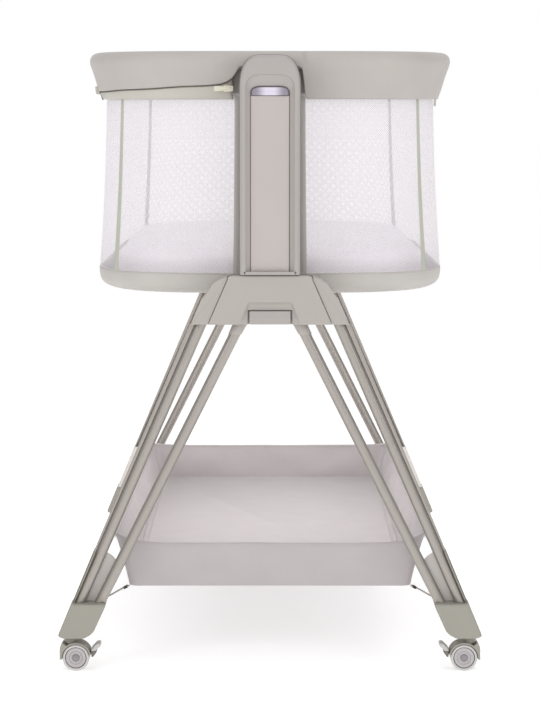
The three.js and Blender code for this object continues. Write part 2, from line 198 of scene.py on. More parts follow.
def route(*parts):
    """Joins stretches of the plan outline into one path."""
    points = np.concatenate([p for p, _ in parts])
    outs = np.concatenate([o for _, o in parts])
    keep = np.append(True, np.linalg.norm(np.diff(points, axis=0), axis=1) > 1e-6)
    return points[keep], outs[keep]


def fixed_route():
    """Front end from left to right, the fixed side, then the rear end from right to left."""
    turn = cap_angles()
    return route(cap(turn, -1), straight(1, -half_straight, half_straight, 57),
                 cap(turn[::-1], 1))


def drop_route():
    """The dropping side, from the rear end to the front end."""
    return straight(-1, half_straight - fit, fit - half_straight, 57)


def carry(path, offset, z):
    """Points of a profile carried along a path; offset and z have a row per step of the path."""
    points, outs = path
    flat = points[:, None, :] + offset[:, :, None] * outs[:, None, :]
    return np.concatenate([flat, np.broadcast_to(z, offset.shape)[:, :, None]], 2)


def surface(name, grid, wrap=(False, False), caps=False, facing=0):
    """A mesh on the points grid[i, j]. wrap joins the last row or column to the first one and
    caps fills the first and last rows. The weave map holds metres along and across the cloth.
    facing is 0 for a closed form, else 1 or -1 for a sheet that faces out from the upright axis
    of the bassinet or in towards it."""
    rows, columns = grid.shape[:2]
    i, j = np.meshgrid(np.arange(rows - (not wrap[0])), np.arange(columns - (not wrap[1])),
                       indexing="ij")
    i2, j2 = (i + 1) % rows, (j + 1) % columns
    quads = np.stack([i * columns + j, i * columns + j2, i2 * columns + j2, i2 * columns + j], 2)
    faces = quads.reshape(-1, 4).tolist()
    along = np.append(0, np.cumsum(np.linalg.norm(grid - np.roll(grid, -1, 0), axis=2).mean(1)))
    across = np.append(0, np.cumsum(np.linalg.norm(grid - np.roll(grid, -1, 1), axis=2).mean(0)))
    uv = np.stack([np.stack([along[i], across[j]], 2), np.stack([along[i], across[j + 1]], 2),
                   np.stack([along[i + 1], across[j + 1]], 2),
                   np.stack([along[i + 1], across[j]], 2)], 2).reshape(-1, 2)
    if caps:
        ends = [list(range(columns))[::-1], [(rows - 1) * columns + k for k in range(columns)]]
        faces += ends
        for face in ends:
            flat = grid.reshape(-1, 3)[face]
            uv = np.concatenate([uv, flat[:, np.sort(np.argsort(np.ptp(flat, axis=0))[1:])]])
    centre = grid.mean((0, 1)) if facing == 0 else np.zeros(3)
    a, b, c, d = (grid.reshape(-1, 3)[quads.reshape(-1, 4)[:, k]] - centre for k in range(4))
    if facing:
        outward = np.sum((a + c)[:, :2] * np.cross(c - a, d - b)[:, :2]) * facing
    else:
        outward = np.sum(a * (np.cross(b, c) + np.cross(c, d)))
    if outward < 0:
        faces = [face[::-1] for face in faces]
        sizes = np.array([len(face) for face in faces])
        starts = np.append(0, np.cumsum(sizes))[:-1]
        uv = np.concatenate([uv[s:s + n][::-1] for s, n in zip(starts, sizes)])
    mesh = bpy.data.meshes.new(name)
    mesh.from_pydata(grid.reshape(-1, 3).tolist(), [], faces)
    mesh.uv_layers.new(name="weave").data.foreach_set("uv", uv.astype(np.float32).ravel())
    piece = bpy.data.objects.new(name, mesh)
    bpy.context.scene.collection.objects.link(piece)
    return piece


def smooth(piece, degrees=40):
    """Smooth shading with creases past the given angle. Flat end faces stay flat."""
    sides = np.empty(len(piece.data.polygons), np.int32)
    piece.data.polygons.foreach_get("loop_total", sides)
    piece.data.polygons.foreach_set("use_smooth", sides < 5)
    piece.data.set_sharp_from_angle(angle=math.radians(degrees))
    return piece


def modifier(piece, kind, **settings):
    """Adds a modifier with its settings."""
    made = piece.modifiers.new(kind.lower(), kind)
    for key, value in settings.items():
        setattr(made, key, value)
    return made


def dress(piece, material, body, slot, *nodes):
    """Gives a piece its material, the body it moves with and what it stands for. slot, the finish's
    name, is not used.
    """
    piece.data.materials.clear()
    piece.data.materials.append(material)
    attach(piece, body)
    if nodes:
        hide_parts(*nodes)
    return piece


def curve_through(points, count):
    """A smooth Catmull-Rom curve through the given points, evenly resampled."""
    p = np.array(points, float)
    p = np.concatenate([2 * p[:1] - p[1:2], p, 2 * p[-1:] - p[-2:-1]])
    t = np.linspace(0, 1, 13)[:-1, None]
    a, b, c, d = (p[k:len(p) - 3 + k][:, None] for k in range(4))
    fine = 0.5 * (2 * b + (c - a) * t + (2 * a - 5 * b + 4 * c - d) * t ** 2
                  + (3 * b - a - 3 * c + d) * t ** 3)
    fine = np.concatenate([fine.reshape(-1, p.shape[1]), p[-2:-1]])
    walk = np.append(0, np.cumsum(np.linalg.norm(np.diff(fine, axis=0), axis=1)))
    even = np.linspace(0, walk[-1], count)
    return np.stack([np.interp(even, walk, fine[:, k]) for k in range(p.shape[1])], 1)


def ripple(path, strength, seed):
    """Soft unevenness along a path: a sum of slow sines with fixed phases."""
    walk = np.append(0, np.cumsum(np.linalg.norm(np.diff(path[0], axis=0), axis=1)))
    phase = np.random.default_rng(seed).uniform(0, 2 * math.pi, 5)
    waves = [0.21, 0.125, 0.083, 0.057, 0.041]
    shares = [1.0, 0.8, 0.6, 0.35, 0.2]
    total = sum(s * np.sin(2 * math.pi * walk / w + p) for s, w, p in zip(shares, waves, phase))
    return strength * total / 2


BAND_PROFILE = curve_through([
    [2.6, 744], [6.3, 750], [11.4, 764], [16.2, 780], [20.8, 793], [22.6, 800], [21.4, 806.5],
    [16.5, 811.2], [8, 813], [0, 812], [-5.8, 807.5], [-8.0, 800], [-8.2, 785], [-8.2, 770],
    [-8.0, 757],
], 120) * MM


def band_edge(path, left_edge):
    """Height of the band's outer edge. It sits low on the fixed half, on the zip line on the
    dropping half, and rises round each column's cap."""
    points, _ = path
    end = np.abs(points[:, 1]) > half_straight
    low = np.full(len(points), 750.5)
    at = np.array([-400, -212, -190, -150, -110, -80, -62, -52, -46, -41, -37, -33, 0, 33,
                   38, 40.5, 43, 45, 47, 400]) * MM
    z = np.array([left_edge, left_edge, left_edge + 2, 764.5, 767.5, 768.5, 770, 773.5, 778, 785,
                  792, 793, 793, 793, 791.5, 782, 766, 754, 750.5, 750.5])
    return np.where(end, np.interp(points[:, 0], at, z), low) * MM


def band(name, path, edge, seed, swell=0.0):
    """Band cover: the profile's share above the edge height, carried along the path."""
    start = np.interp(edge, BAND_PROFILE[:49, 1], np.linspace(0, 48 / 119, 49))
    share = start[:, None] + (1 - start[:, None]) * np.linspace(0, 1, 64)[None, :]
    spread = np.linspace(0, 1, 120)
    offset = np.interp(share, spread, BAND_PROFILE[:, 0])
    z = np.interp(share, spread, BAND_PROFILE[:, 1])
    loose = np.clip((0.800 - z) / 0.05, 0, 1)
    offset = offset + ripple(path, 0.8 * MM, seed)[:, None] * loose + swell * loose
    piece = surface(name, carry(path, offset, z), facing=1)
    modifier(piece, "SOLIDIFY", thickness=2.2 * MM, offset=-1.0)
    return smooth(piece, 60)


def woven_cloth(name, code, thread=0.9, lift=0.25, sheen=0.25, mottle=0.035, thin=0.0):
    """Tight plain weave of matt polyester yarn. Real threads are 0.3 mm; they are drawn thread mm
    wide so that they show. The eye gets a soft flat tone with a faint heather and fine relief.
    thin is the share of light that a single layer lets through."""
    material, tree = blank_material(name)
    place = node(tree, "UVMap", uv_map="weave")
    warp = node(tree, "TexWave", {"Vector": place.outputs[0], "Scale": 314 / thread,
                                  "Distortion": 0.3}, bands_direction="X")
    weft = node(tree, "TexWave", {"Vector": place.outputs[0], "Scale": 314 / thread,
                                  "Distortion": 0.3}, bands_direction="Y")
    cross = node(tree, "Math", {0: warp.outputs["Fac"], 1: weft.outputs["Fac"]},
                 operation="MULTIPLY")
    yarn = node(tree, "TexNoise", {"Vector": place.outputs[0], "Scale": 900.0, "Detail": 2.0})
    cloud = node(tree, "TexNoise", {"Vector": place.outputs[0], "Scale": 22.0, "Detail": 3.0})
    tone = node(tree, "Math", {0: yarn.outputs["Fac"], 1: cloud.outputs["Fac"]}, operation="ADD")
    shade = node(tree, "MapRange", {"Value": tone.outputs[0], "From Min": 0.6, "From Max": 1.4,
                                    "To Min": 1 - 2 * mottle, "To Max": 1 + mottle})
    base = node(tree, "VectorMath", {0: colour(code)[:3], "Scale": shade.outputs[0]},
                operation="SCALE")
    relief = node(tree, "Math", {0: cross.outputs[0], 1: cloud.outputs["Fac"]}, operation="ADD")
    bump = node(tree, "Bump", {"Height": relief.outputs[0], "Strength": lift,
                               "Distance": 0.25 * MM})
    shader = node(tree, "BsdfPrincipled", {
        "Base Color": base.outputs[0], "Roughness": 0.92, "IOR": 1.45, "Sheen Weight": sheen,
        "Sheen Roughness": 0.4, "Specular IOR Level": 0.25, "Normal": bump.outputs[0]})
    glow = node(tree, "BsdfTranslucent", {"Color": base.outputs[0]})
    cloth = node(tree, "MixShader", {0: thin, 1: shader.outputs[0], 2: glow.outputs[0]})
    node(tree, "OutputMaterial", {"Surface": cloth.outputs[0]})
    return material


band_cloth = woven_cloth("woven_polyester_greige", "#bfb9b5")
fixed_path = fixed_route()
drop_path = drop_route()
fixed_band = band("rim_band_fixed", fixed_path, band_edge(fixed_path, 761.0), 3)
dress(fixed_band, band_cloth, "bassinet", "band_fabric",
      "front_rim_cover", "rear_rim_cover", "right_rim_cover")
drop_band = band("rim_band_drop_side", drop_path, np.full(57, 761.0) * MM, 4)
dress(drop_band, band_cloth, "drop_side", "band_fabric", "drop_rim_cover")


def thread_along(name, points, radius, sides=8):
    """A thin round cord along points, with rings square to the world's up direction."""
    ahead = np.gradient(points, axis=0)
    ahead /= np.linalg.norm(ahead, axis=1, keepdims=True)
    across = np.cross(ahead, [0, 0, 1.0])
    across /= np.linalg.norm(across, axis=1, keepdims=True)
    up = np.cross(across, ahead)
    turn = np.linspace(0, 2 * math.pi, sides, endpoint=False)
    rings = (points[:, None, :] + radius * (np.cos(turn)[None, :, None] * across[:, None, :]
                                            + np.sin(turn)[None, :, None] * up[:, None, :]))
    return smooth(surface(name, rings, wrap=(False, True), caps=True), 60)


# The lining binding: a folded tape that closes the sleeve's inner edge, one stitch line up.
def lining_tape(name, path):
    """A flat tape round the inner edge of the band."""
    z = np.linspace(754, 764, 5)[None, :] * MM
    offset = np.broadcast_to(np.array([-9.2, -10.6, -10.9, -10.6, -9.2])[None, :] * MM,
                             (len(path[0]), 5))
    return smooth(surface(name, carry(path, offset, z), facing=-1), 60)


tape_cloth = woven_cloth("grosgrain_tape_grey", "#c4c2b8", thread=1.2, lift=0.35, sheen=0.1)
for name, path, body in (("lining_tape_fixed", fixed_path, "bassinet"),
                         ("lining_tape_drop_side", drop_path, "drop_side")):
    dress(lining_tape(name, path), tape_cloth, body, "band_fabric")


# --- Zip ---------------------------------------------------------------------------------
# A coil zip in greige tape runs under the band on the dropping half, with a cream metal
# slider and pull parked beside the front column.

def half_route(end):
    """The half of an end's outline on the dropping side, from the column outwards."""
    turn = np.radians(np.linspace(-90, -12.2, 60))
    points, outs = cap(turn, -1)
    return points * [1, -end], outs * [1, -end]


def strip(name, path, top, bottom, out, lift=0.0):
    """A flat band of cloth on the wall between two heights, out metres proud of it."""
    share = np.linspace(0, 1, 9)
    z = bottom[:, None] + (top - bottom)[:, None] * share[None, :]
    lean = (745 * MM - z) * 0.05 + out
    lean = lean + np.clip(z - 0.745, 0, 1) * 0.36 + lift * np.sin(math.pi * share)[None, :]
    piece = surface(name, carry(path, lean, z), facing=1)
    modifier(piece, "SOLIDIFY", thickness=1.2 * MM, offset=-1.0)
    return smooth(piece, 60)


strip_cloth = woven_cloth("woven_polyester_pale", "#c7c3ba")
# The coil is a real zip part, but its dark colour also paints the shade in the gap between band and
# strip.
zip_coil_gap_shade = woven_cloth("nylon_zip_coil_painted_gap_shade", "#6b655c", thread=1.0, lift=0.8, sheen=0.0)
for end, label in ((-1, "front"), (1, "rear")):
    path = half_route(end)
    edge = band_edge(path, 761.0)
    piece = strip(f"zip_strip_{label}", path, edge + 1.5 * MM, np.full(60, 750.2) * MM, 3.4 * MM,
                  0.5 * MM)
    dress(piece, strip_cloth, "bassinet", "band_fabric")
    lean = np.interp(edge, BAND_PROFILE[:49, 1], BAND_PROFILE[:49, 0]) - 0.9 * MM
    line = np.concatenate([path[0] + lean[:, None] * path[1], edge[:, None] - 0.9 * MM], 1)
    dress(thread_along(f"zip_coil_{label}", line, 0.85 * MM), zip_coil_gap_shade, "bassinet", "zip_metal")
side_strip = strip("zip_strip_drop_side", drop_path, np.full(57, 762.5) * MM,
                   np.full(57, 750.2) * MM, 3.4 * MM, 0.5 * MM)
dress(side_strip, strip_cloth, "drop_side", "band_fabric")
lean = np.interp(761 * MM, BAND_PROFILE[:49, 1], BAND_PROFILE[:49, 0]) - 0.9 * MM
line = np.concatenate([drop_path[0] + lean * drop_path[1], np.full((57, 1), 760.1 * MM)], 1)
dress(thread_along("zip_coil_drop_side", line, 0.85 * MM), zip_coil_gap_shade, "drop_side", "zip_metal")


def inset(outline, distance):
    """An outline moved inwards along its own normals. Corners are mitred, and a rounded corner
    that the move uses up closes to a point."""
    ahead = np.roll(outline, -1, 0) - outline
    ahead /= np.linalg.norm(ahead, axis=1, keepdims=True)
    left = np.stack([-ahead[:, 1], ahead[:, 0]], 1)
    before = np.roll(left, 1, 0)
    middle = left + before
    middle /= np.clip((middle * left).sum(1, keepdims=True), 0.35, None)
    moved = outline + distance * middle
    turned_back = ((np.roll(moved, -1, 0) - moved) * ahead).sum(1) < 1e-9
    if turned_back.any() and not turned_back.all():
        shift = int(np.argmin(turned_back)) + 1
        moved = np.roll(moved, -shift, 0)
        flags = np.roll(turned_back, -shift)
        k = 0
        while k < len(moved):
            last = k
            while last < len(moved) - 1 and flags[last]:
                last += 1
            moved[k:last + 1] = moved[k:last + 1].mean(0)
            k = last + 1
        moved = np.roll(moved, shift, 0)
    return moved


def rounded(corners, radius, steps=5):
    """A closed outline with every corner turned into an arc; radius may differ by corner."""
    p = np.array(corners, float)
    radius = np.broadcast_to(np.asarray(radius, float), len(p))
    arcs = []
    for k in range(len(p)):
        here, back, on = p[k], p[k - 1], p[(k + 1) % len(p)]
        a = (back - here) / np.linalg.norm(back - here)
        b = (on - here) / np.linalg.norm(on - here)
        half = math.acos(np.clip(np.dot(a, b), -1, 1)) / 2
        cut = min(radius[k] / math.tan(half), 0.49 * np.linalg.norm(back - here),
                  0.49 * np.linalg.norm(on - here))
        t = np.linspace(0, 1, steps)[:, None]
        start, stop = here + a * cut, here + b * cut
        arcs.append((1 - t) ** 2 * start + 2 * t * (1 - t) * here + t ** 2 * stop)
    outline = np.concatenate(arcs)
    turn = (outline[:, 0] * np.roll(outline[:, 1], -1) - np.roll(outline[:, 0], -1) * outline[:, 1])
    return outline if turn.sum() > 0 else outline[::-1]


def moulding(name, outline, front, back, soft_front=1.5 * MM, soft_back=0.6 * MM, place=None):
    """A moulded slab: an outline in x and z given depth along y, with rounded front and back
    edges. place turns and moves the (x, y, z) points."""
    turn = np.linspace(0, math.pi / 2, 5)
    levels = [(1.35 * soft_front, front)]
    levels += [(soft_front * (1 - math.sin(t)), front + soft_front * (1 - math.cos(t)))
               for t in turn]
    levels += [(soft_back * (1 - math.cos(t)), back - soft_back * (1 - math.sin(t))) for t in turn]
    levels += [(1.35 * soft_back, back)]
    rings = np.array([np.insert(inset(outline, d), 1, y, axis=1) for d, y in levels])
    if place is not None:
        rings = place(rings)
    piece = smooth(surface(name, rings, wrap=(False, True), caps=True), 50)
    modifier(piece, "WEIGHTED_NORMAL", keep_sharp=True, weight=80)
    return piece


def joined(name, pieces):
    """Makes one object of several meshes."""
    for piece in pieces:
        for made in list(piece.modifiers):
            if made.type == "WEIGHTED_NORMAL":
                piece.modifiers.remove(made)
    bpy.context.view_layer.objects.active = pieces[0]
    with bpy.context.temp_override(active_object=pieces[0], object=pieces[0],
                                   selected_objects=pieces, selected_editable_objects=pieces):
        bpy.ops.object.join()
    pieces[0].name = name
    modifier(pieces[0], "WEIGHTED_NORMAL", keep_sharp=True, weight=80)
    return pieces[0]


def moulded_plastic(name, code, roughness=0.42, grain=0.12, mottle=0.02, coat=0.0, middle=None):
    """Injection-moulded ABS with a fine spark-eroded texture: satin, with a soft highlight.
    Where a middle colour is given, it paints a highlight down the middle, and code takes over from
    it between 4 and 19 mm off centre."""
    material, tree = blank_material(name)
    place = node(tree, "TexCoord")
    fine = node(tree, "TexNoise", {"Vector": place.outputs["Object"], "Scale": 1400.0,
                                   "Detail": 2.0})
    cloud = node(tree, "TexNoise", {"Vector": place.outputs["Object"], "Scale": 14.0,
                                    "Detail": 3.0})
    shade = node(tree, "MapRange", {"Value": cloud.outputs["Fac"], "To Min": 1 - 1.5 * mottle,
                                    "To Max": 1 + 1.5 * mottle})
    tint = colour(code)[:3]
    if middle:
        where = node(tree, "SeparateXYZ", {"Vector": place.outputs["Object"]})
        far = node(tree, "Math", {0: where.outputs["X"]}, operation="ABSOLUTE")
        pale = node(tree, "MapRange", {"Value": far.outputs[0], "From Min": 4 * MM,
                                       "From Max": 19 * MM}, interpolation_type="SMOOTHSTEP")
        mix = node(tree, "Mix", {"Factor": pale.outputs[0], 6: colour(middle),
                                 7: colour(code)}, data_type="RGBA")
        tint = mix.outputs[2]
    base = node(tree, "VectorMath", {0: tint, "Scale": shade.outputs[0]}, operation="SCALE")
    rough = node(tree, "MapRange", {"Value": fine.outputs["Fac"], "To Min": roughness - 0.05,
                                    "To Max": roughness + 0.07})
    bump = node(tree, "Bump", {"Height": fine.outputs["Fac"], "Strength": grain,
                               "Distance": 0.1 * MM})
    shader = node(tree, "BsdfPrincipled", {
        "Base Color": base.outputs[0], "Roughness": rough.outputs[0], "IOR": 1.5,
        "Coat Weight": coat, "Coat Roughness": 0.15, "Normal": bump.outputs[0]})
    node(tree, "OutputMaterial", {"Surface": shader.outputs[0]})
    return material


cream_metal = moulded_plastic("enamelled_zinc_cream", "#e6e0cd", roughness=0.3, grain=0.05)
slider = moulding("slider_body", rounded([[-61, 759.6], [-47.5, 760.8], [-47.5, 767.6],
                                          [-61, 768.8]], 2.2) / 1000, -434.6 * MM, -429.9 * MM)
bridge = moulding("slider_bridge", rounded([[-60, 763], [-51, 763], [-51, 766], [-60, 766]],
                                           1.2) / 1000, -436.2 * MM, -434 * MM, 0.8 * MM)
pull = moulding("slider_pull", rounded([[-73, 760.6], [-59.5, 761.6], [-59.5, 767], [-73, 767.8]],
                                       2.0) / 1000, -435.4 * MM, -433.6 * MM, 0.7 * MM)
dress(joined("zip_slider_and_pull", [slider, bridge, pull]), cream_metal, "zip_slider",
      "zip_metal", "zip_slider")


# --- Mesh walls --------------------------------------------------------------------------
# Knitted spacer mesh in white polyester, stretched between the rim band and the tray and
# sewn in panels; grey tapes cover the corner seams and the edges beside the columns.

def wall_offset(z):
    """The walls lean out by a twentieth of the way down, with a slight draw-in at mid height."""
    return (745 * MM - z) * 0.05 - 1.6 * MM * np.sin(math.pi * np.clip((z - 0.522) / 0.225, 0, 1))


def mesh_wall(name, path):
    """The wall between tray and band: z from 522 to 758 mm up the plan outline."""
    z = np.broadcast_to(np.linspace(521.5, 758, 40)[None, :] * MM, (len(path[0]), 40))
    return smooth(surface(name, carry(path, wall_offset(z), z), facing=1), 60)


def spacer_mesh(name, code, pitch=3.1, open_share=0.37):
    """Warp-knitted spacer mesh: white yarn round rows of small round holes set diagonally. The real
    holes are 2 mm apart; they are drawn pitch mm apart so that they show."""
    material, tree = blank_material(name)
    place = node(tree, "UVMap", uv_map="weave")
    turned = node(tree, "Mapping", {"Vector": place.outputs[0],
                                    "Rotation": (0, 0, math.radians(45)),
                                    "Scale": (1000 / pitch * 1.414,) * 3})
    cell = node(tree, "TexVoronoi", {"Vector": turned.outputs[0], "Scale": 1.0,
                                     "Randomness": 0.0}, voronoi_dimensions="2D")
    hole = node(tree, "MapRange", {"Value": cell.outputs["Distance"],
                                   "From Min": open_share + 0.1, "From Max": open_share - 0.1})
    yarn = node(tree, "BsdfDiffuse", {"Color": colour(code)})
    glow = node(tree, "BsdfTranslucent", {"Color": colour(code)})
    cloth = node(tree, "MixShader", {0: 0.6, 1: yarn.outputs[0], 2: glow.outputs[0]})
    clear = node(tree, "BsdfTransparent", {"Color": (1, 1, 1, 1)})
    mix = node(tree, "MixShader", {0: hole.outputs[0], 1: cloth.outputs[0], 2: clear.outputs[0]})
    node(tree, "OutputMaterial", {"Surface": mix.outputs[0]})
    return material


white_mesh = spacer_mesh("knitted_spacer_mesh_white", "#fffbff")
fixed_wall = dress(mesh_wall("mesh_wall_fixed", fixed_path), white_mesh, "bassinet",
                   "mesh_fabric", "front_wall", "rear_wall", "right_wall")
drop_wall = dress(mesh_wall("mesh_wall_drop_side", drop_path), white_mesh, "drop_side",
                  "mesh_fabric", "drop_wall")


def upright_tape(name, angle, end, width_low, width_high, proud=0.7, foot=521.5, head=753):
    """A folded tape up the wall at an angle of the end's outline, raised along its middle."""
    z = np.linspace(foot, head, 30) * MM
    width = np.linspace(width_low, width_high, 30) * MM
    share = np.linspace(-0.5, 0.5, 7)
    centre, out = cap(np.array([angle]), end)
    beside = cap(np.array([angle + 0.01]), end)[0]
    along = (beside - centre)[0] / np.linalg.norm(beside - centre)
    lean = wall_offset(z)[:, None] + (proud + 0.8 * np.cos(share * math.pi)[None, :]) * MM
    flat = (centre[0] + lean[:, :, None] * out[0]
            + (width[:, None] * share[None, :])[:, :, None] * along)
    grid = np.concatenate([flat, np.broadcast_to(z[:, None, None], (30, 7, 1))], 2)
    return smooth(surface(name, grid, facing=1), 60)


corner_cloth = woven_cloth("corner_tape_sage_grey", "#bfc0b4", thread=1.2, lift=0.35, sheen=0.1)
for end, label in ((-1, "front"), (1, "rear")):
    for side, word in ((-1, "drop"), (1, "fixed")):
        corner = upright_tape(f"corner_tape_{label}_{word}", side * math.asin(0.88), end, 10.0, 6.6)
        dress(corner, corner_cloth, "bassinet", "band_fabric")
        edging = upright_tape(f"column_tape_{label}_{word}", side * math.asin(42 / 223), end,
                              8.5, 8.5, proud=0.9, head=754)
        dress(edging, band_cloth, "bassinet", "band_fabric")
        inner = upright_tape(f"column_backing_{label}_{word}", side * math.asin(20 / 223), end,
                             40, 40, proud=-0.4, head=749)
        dress(inner, band_cloth, "bassinet", "band_fabric")

# Small sewn ends of the zips: a folded tab at the left corner and a thin tail at the right one.
tab_outline = rounded([[-236.5, 757], [-232, 757], [-229.5, 766], [-238, 768]], 1.5) / 1000
dress(moulding("zip_end_tab_left", tab_outline, -302 * MM, -290 * MM, 1.2 * MM, 1.2 * MM),
      strip_cloth, "bassinet", "band_fabric")
tail_path = cap(np.radians(np.linspace(76, 80, 9)), -1)
tail_z = np.linspace(741, 760, 12)[None, :] * MM + np.zeros((9, 1))
tail = surface("zip_end_tail_right",
               carry(tail_path, 5.5 * MM + 2 * MM * np.linspace(0, 1, 12)[None, :] ** 2
                     + np.zeros((9, 1)), tail_z), facing=1)
modifier(tail, "SOLIDIFY", thickness=0.9 * MM, offset=-1.0)
dress(smooth(tail, 60), tape_cloth, "bassinet", "band_fabric")


# --- Tray --------------------------------------------------------------------------------
# The lower part is a stiff board tray covered in the same greige cloth, its outer face a
# flat band with a piped top edge and a soft turned-under bottom.

def tray_shell():
    """Whole plan outlines from the middle of the underside, round the outer face, over the top
    edge, down inside and in to the middle of the floor."""
    profile = curve_through([
        [-60, 494], [-30, 494], [-14, 494.6], [-3, 496.8], [5, 501], [9.6, 507], [11.2, 514],
        [11.4, 520], [10.6, 522.6], [8.4, 522.8], [6.6, 521.4], [5.6, 512], [5.4, 501],
    ], 64) * MM
    turn = np.radians(np.linspace(-90, 90, 61))
    path = route(cap(turn, -1), straight(1, -half_straight, half_straight, 29),
                 cap(turn[::-1], 1), straight(-1, half_straight, -half_straight, 29))
    path = (path[0][:-1], path[1][:-1])
    offset = np.broadcast_to(profile[:, 0], (len(path[0]), 64))
    offset = offset + np.where(profile[:, 1] > 498 * MM, 1, 0) * ripple(path, 0.35 * MM, 8)[:, None]
    rings = carry(path, offset, profile[:, 1][None, :]).transpose(1, 0, 2)
    below = [rings[0] * [s, 1, 1] for s in np.linspace(0.02, 0.9, 6)]
    inside = [rings[-1] * [s, 1, 1] for s in np.linspace(0.97, 0.02, 10)]
    return surface("tray_shape", np.array([*below, *rings, *inside]), wrap=(False, True),
                   caps=True), path


tray_cloth = woven_cloth("woven_polyester_stone", "#c6c2bd", mottle=0.04)
tray, round_path = tray_shell()
smooth(tray, 60)
lugs = [moulding(f"tray_lug_{k}", rounded([[-30, 524.8], [30, 524.8], [30, 560], [-30, 560]],
                                          4) / 1000, front * MM, back * MM)
        for k, (front, back) in enumerate(((-441.7, -425), (425, 441.7)))]
tray = joined("tray_cover", [tray] + lugs)
dress(tray, tray_cloth, "bassinet", "lower_fabric", "base_tray")

piping_lean = np.full((len(round_path[0]), 1), 10.9 * MM)
piping_line = carry(round_path, piping_lean, np.array([[521.6 * MM]]))[:, 0]
piping = thread_along("tray_piping", np.concatenate([piping_line, piping_line[:1]]), 1.15 * MM, 8)
dress(piping, band_cloth, "bassinet", "lower_fabric")


# --- Mattress ----------------------------------------------------------------------------
# A foam mattress in a white knitted cover with a taped edge; the cover is blown out a little
# by the foam, so its faces crown and its corners stay tight.

def mattress_form(inner):
    """Rounded slab: whole plan outlines from the bottom's middle to the top's middle."""
    profile = np.array([[-120, 502.5], [-12, 502], [-5, 504], [-3.2, 509], [-3, 524], [-3.2, 537],
                        [-5.5, 542.5], [-12, 545], [-60, 545], [-120, 545]]) * MM
    profile[:, 0] -= inner
    turn = np.radians(np.linspace(-90, 90, 25))
    path = route(cap(turn, -1), straight(1, -half_straight, half_straight, 17),
                 cap(turn[::-1], 1), straight(-1, half_straight, -half_straight, 17))
    path = (path[0][:-1], path[1][:-1])
    offset = np.broadcast_to(profile[:, 0], (len(path[0]), 10))
    rings = carry(path, offset, profile[:, 1][None, :]).transpose(1, 0, 2)
    return surface("mattress_cover", rings, wrap=(False, True), caps=True)


def blow_out(piece, voxel, pressure, cap_distance):
    """Remeshes a form, lets cloth swell under inner pressure, and caps how far it moves."""
    modifier(piece, "REMESH", mode="VOXEL", voxel_size=voxel)
    bpy.context.view_layer.objects.active = piece
    with bpy.context.temp_override(object=piece, active_object=piece):
        bpy.ops.object.modifier_apply(modifier="remesh")
    count = len(piece.data.vertices)
    before = np.empty(count * 3, np.float32)
    piece.data.vertices.foreach_get("co", before)
    cloth = modifier(piece, "CLOTH")
    cloth.settings.use_pressure = True
    cloth.settings.uniform_pressure_force = pressure
    cloth.settings.effector_weights.gravity = 0
    cloth.settings.quality = 4
    cloth.settings.tension_stiffness = 12
    cloth.settings.bending_stiffness = 2
    cloth.point_cache.frame_start = 1
    cloth.point_cache.frame_end = 20
    for step in range(1, 21):
        bpy.context.scene.frame_set(step)
    posed = piece.evaluated_get(bpy.context.evaluated_depsgraph_get())
    after = np.empty(count * 3, np.float32)
    posed.data.vertices.foreach_get("co", after)
    piece.modifiers.remove(cloth)
    move = (after - before).reshape(-1, 3)
    far = np.linalg.norm(move, axis=1, keepdims=True)
    move *= np.minimum(1, cap_distance / np.maximum(far, 1e-9))
    piece.data.vertices.foreach_set("co", (before.reshape(-1, 3) + move).ravel())
    piece.data.update()
    bpy.context.scene.frame_set(1)


def knitted_cover(name, code):
    """Double-knit polyester with a stitched diamond quilt, 40 mm across: soft, matt and white."""
    material, tree = blank_material(name)
    place = node(tree, "TexCoord")
    turned = node(tree, "Mapping", {"Vector": place.outputs["Object"],
                                    "Rotation": (0, 0, math.radians(45)), "Scale": (25, 25, 25)})
    cell = node(tree, "TexVoronoi", {"Vector": turned.outputs[0], "Scale": 1.0,
                                     "Randomness": 0.0}, voronoi_dimensions="2D",
                distance="CHEBYCHEV")
    knit = node(tree, "TexNoise", {"Vector": place.outputs["Object"], "Scale": 900.0})
    puff = node(tree, "MapRange", {"Value": cell.outputs["Distance"], "From Min": 0.5,
                                   "From Max": 0.25}, interpolation_type="SMOOTHSTEP")
    relief = node(tree, "Math", {0: knit.outputs["Fac"], 1: 0.12, 2: puff.outputs[0]},
                  operation="MULTIPLY_ADD")
    bump = node(tree, "Bump", {"Height": relief.outputs[0], "Strength": 0.5, "Distance": 2 * MM})
    shader = node(tree, "BsdfPrincipled", {
        "Base Color": colour(code), "Roughness": 0.9, "IOR": 1.45, "Sheen Weight": 0.2,
        "Specular IOR Level": 0.25, "Normal": bump.outputs[0]})
    node(tree, "OutputMaterial", {"Surface": shader.outputs[0]})
    return material


mattress = mattress_form(1.5 * MM)
blow_out(mattress, 6 * MM, 4.0, 6 * MM)
modifier(mattress, "SUBSURF", levels=1, render_levels=1)
smooth(mattress, 80)
dress(mattress, knitted_cover("quilted_knit_white", "#f3eff3"), "mattress", "mattress_fabric",
      "mattress")


# --- Columns -----------------------------------------------------------------------------
# Each column is an ABS casing with a domed cap and a long scooped recess, over a back shell in a
# darker grey whose thin rim round the casing paints the shadow line of the gap behind it. A satin
# inlay fills the recess, with the glossy height button at its head.

def arch(half, bottom, top, shoulder, flat):
    """Upright outline with a domed head: straight sides, then a cubic Bezier to a short flat."""
    t = np.linspace(0, 1, 14)[:, None]
    p = np.array([[half, top - shoulder], [half, top - shoulder / 3],
                  [(half + flat) / 1.8, top], [flat, top]], float)
    bend = ((1 - t) ** 3 * p[0] + 3 * t * (1 - t) ** 2 * p[1] + 3 * t ** 2 * (1 - t) * p[2]
            + t ** 3 * p[3])
    side = np.stack([np.full(12, half), np.linspace(bottom, top - shoulder, 12)], 1)[:-1]
    right = np.concatenate([side, bend])
    return np.concatenate([right, right[::-1] * [-1, 1]]) * MM


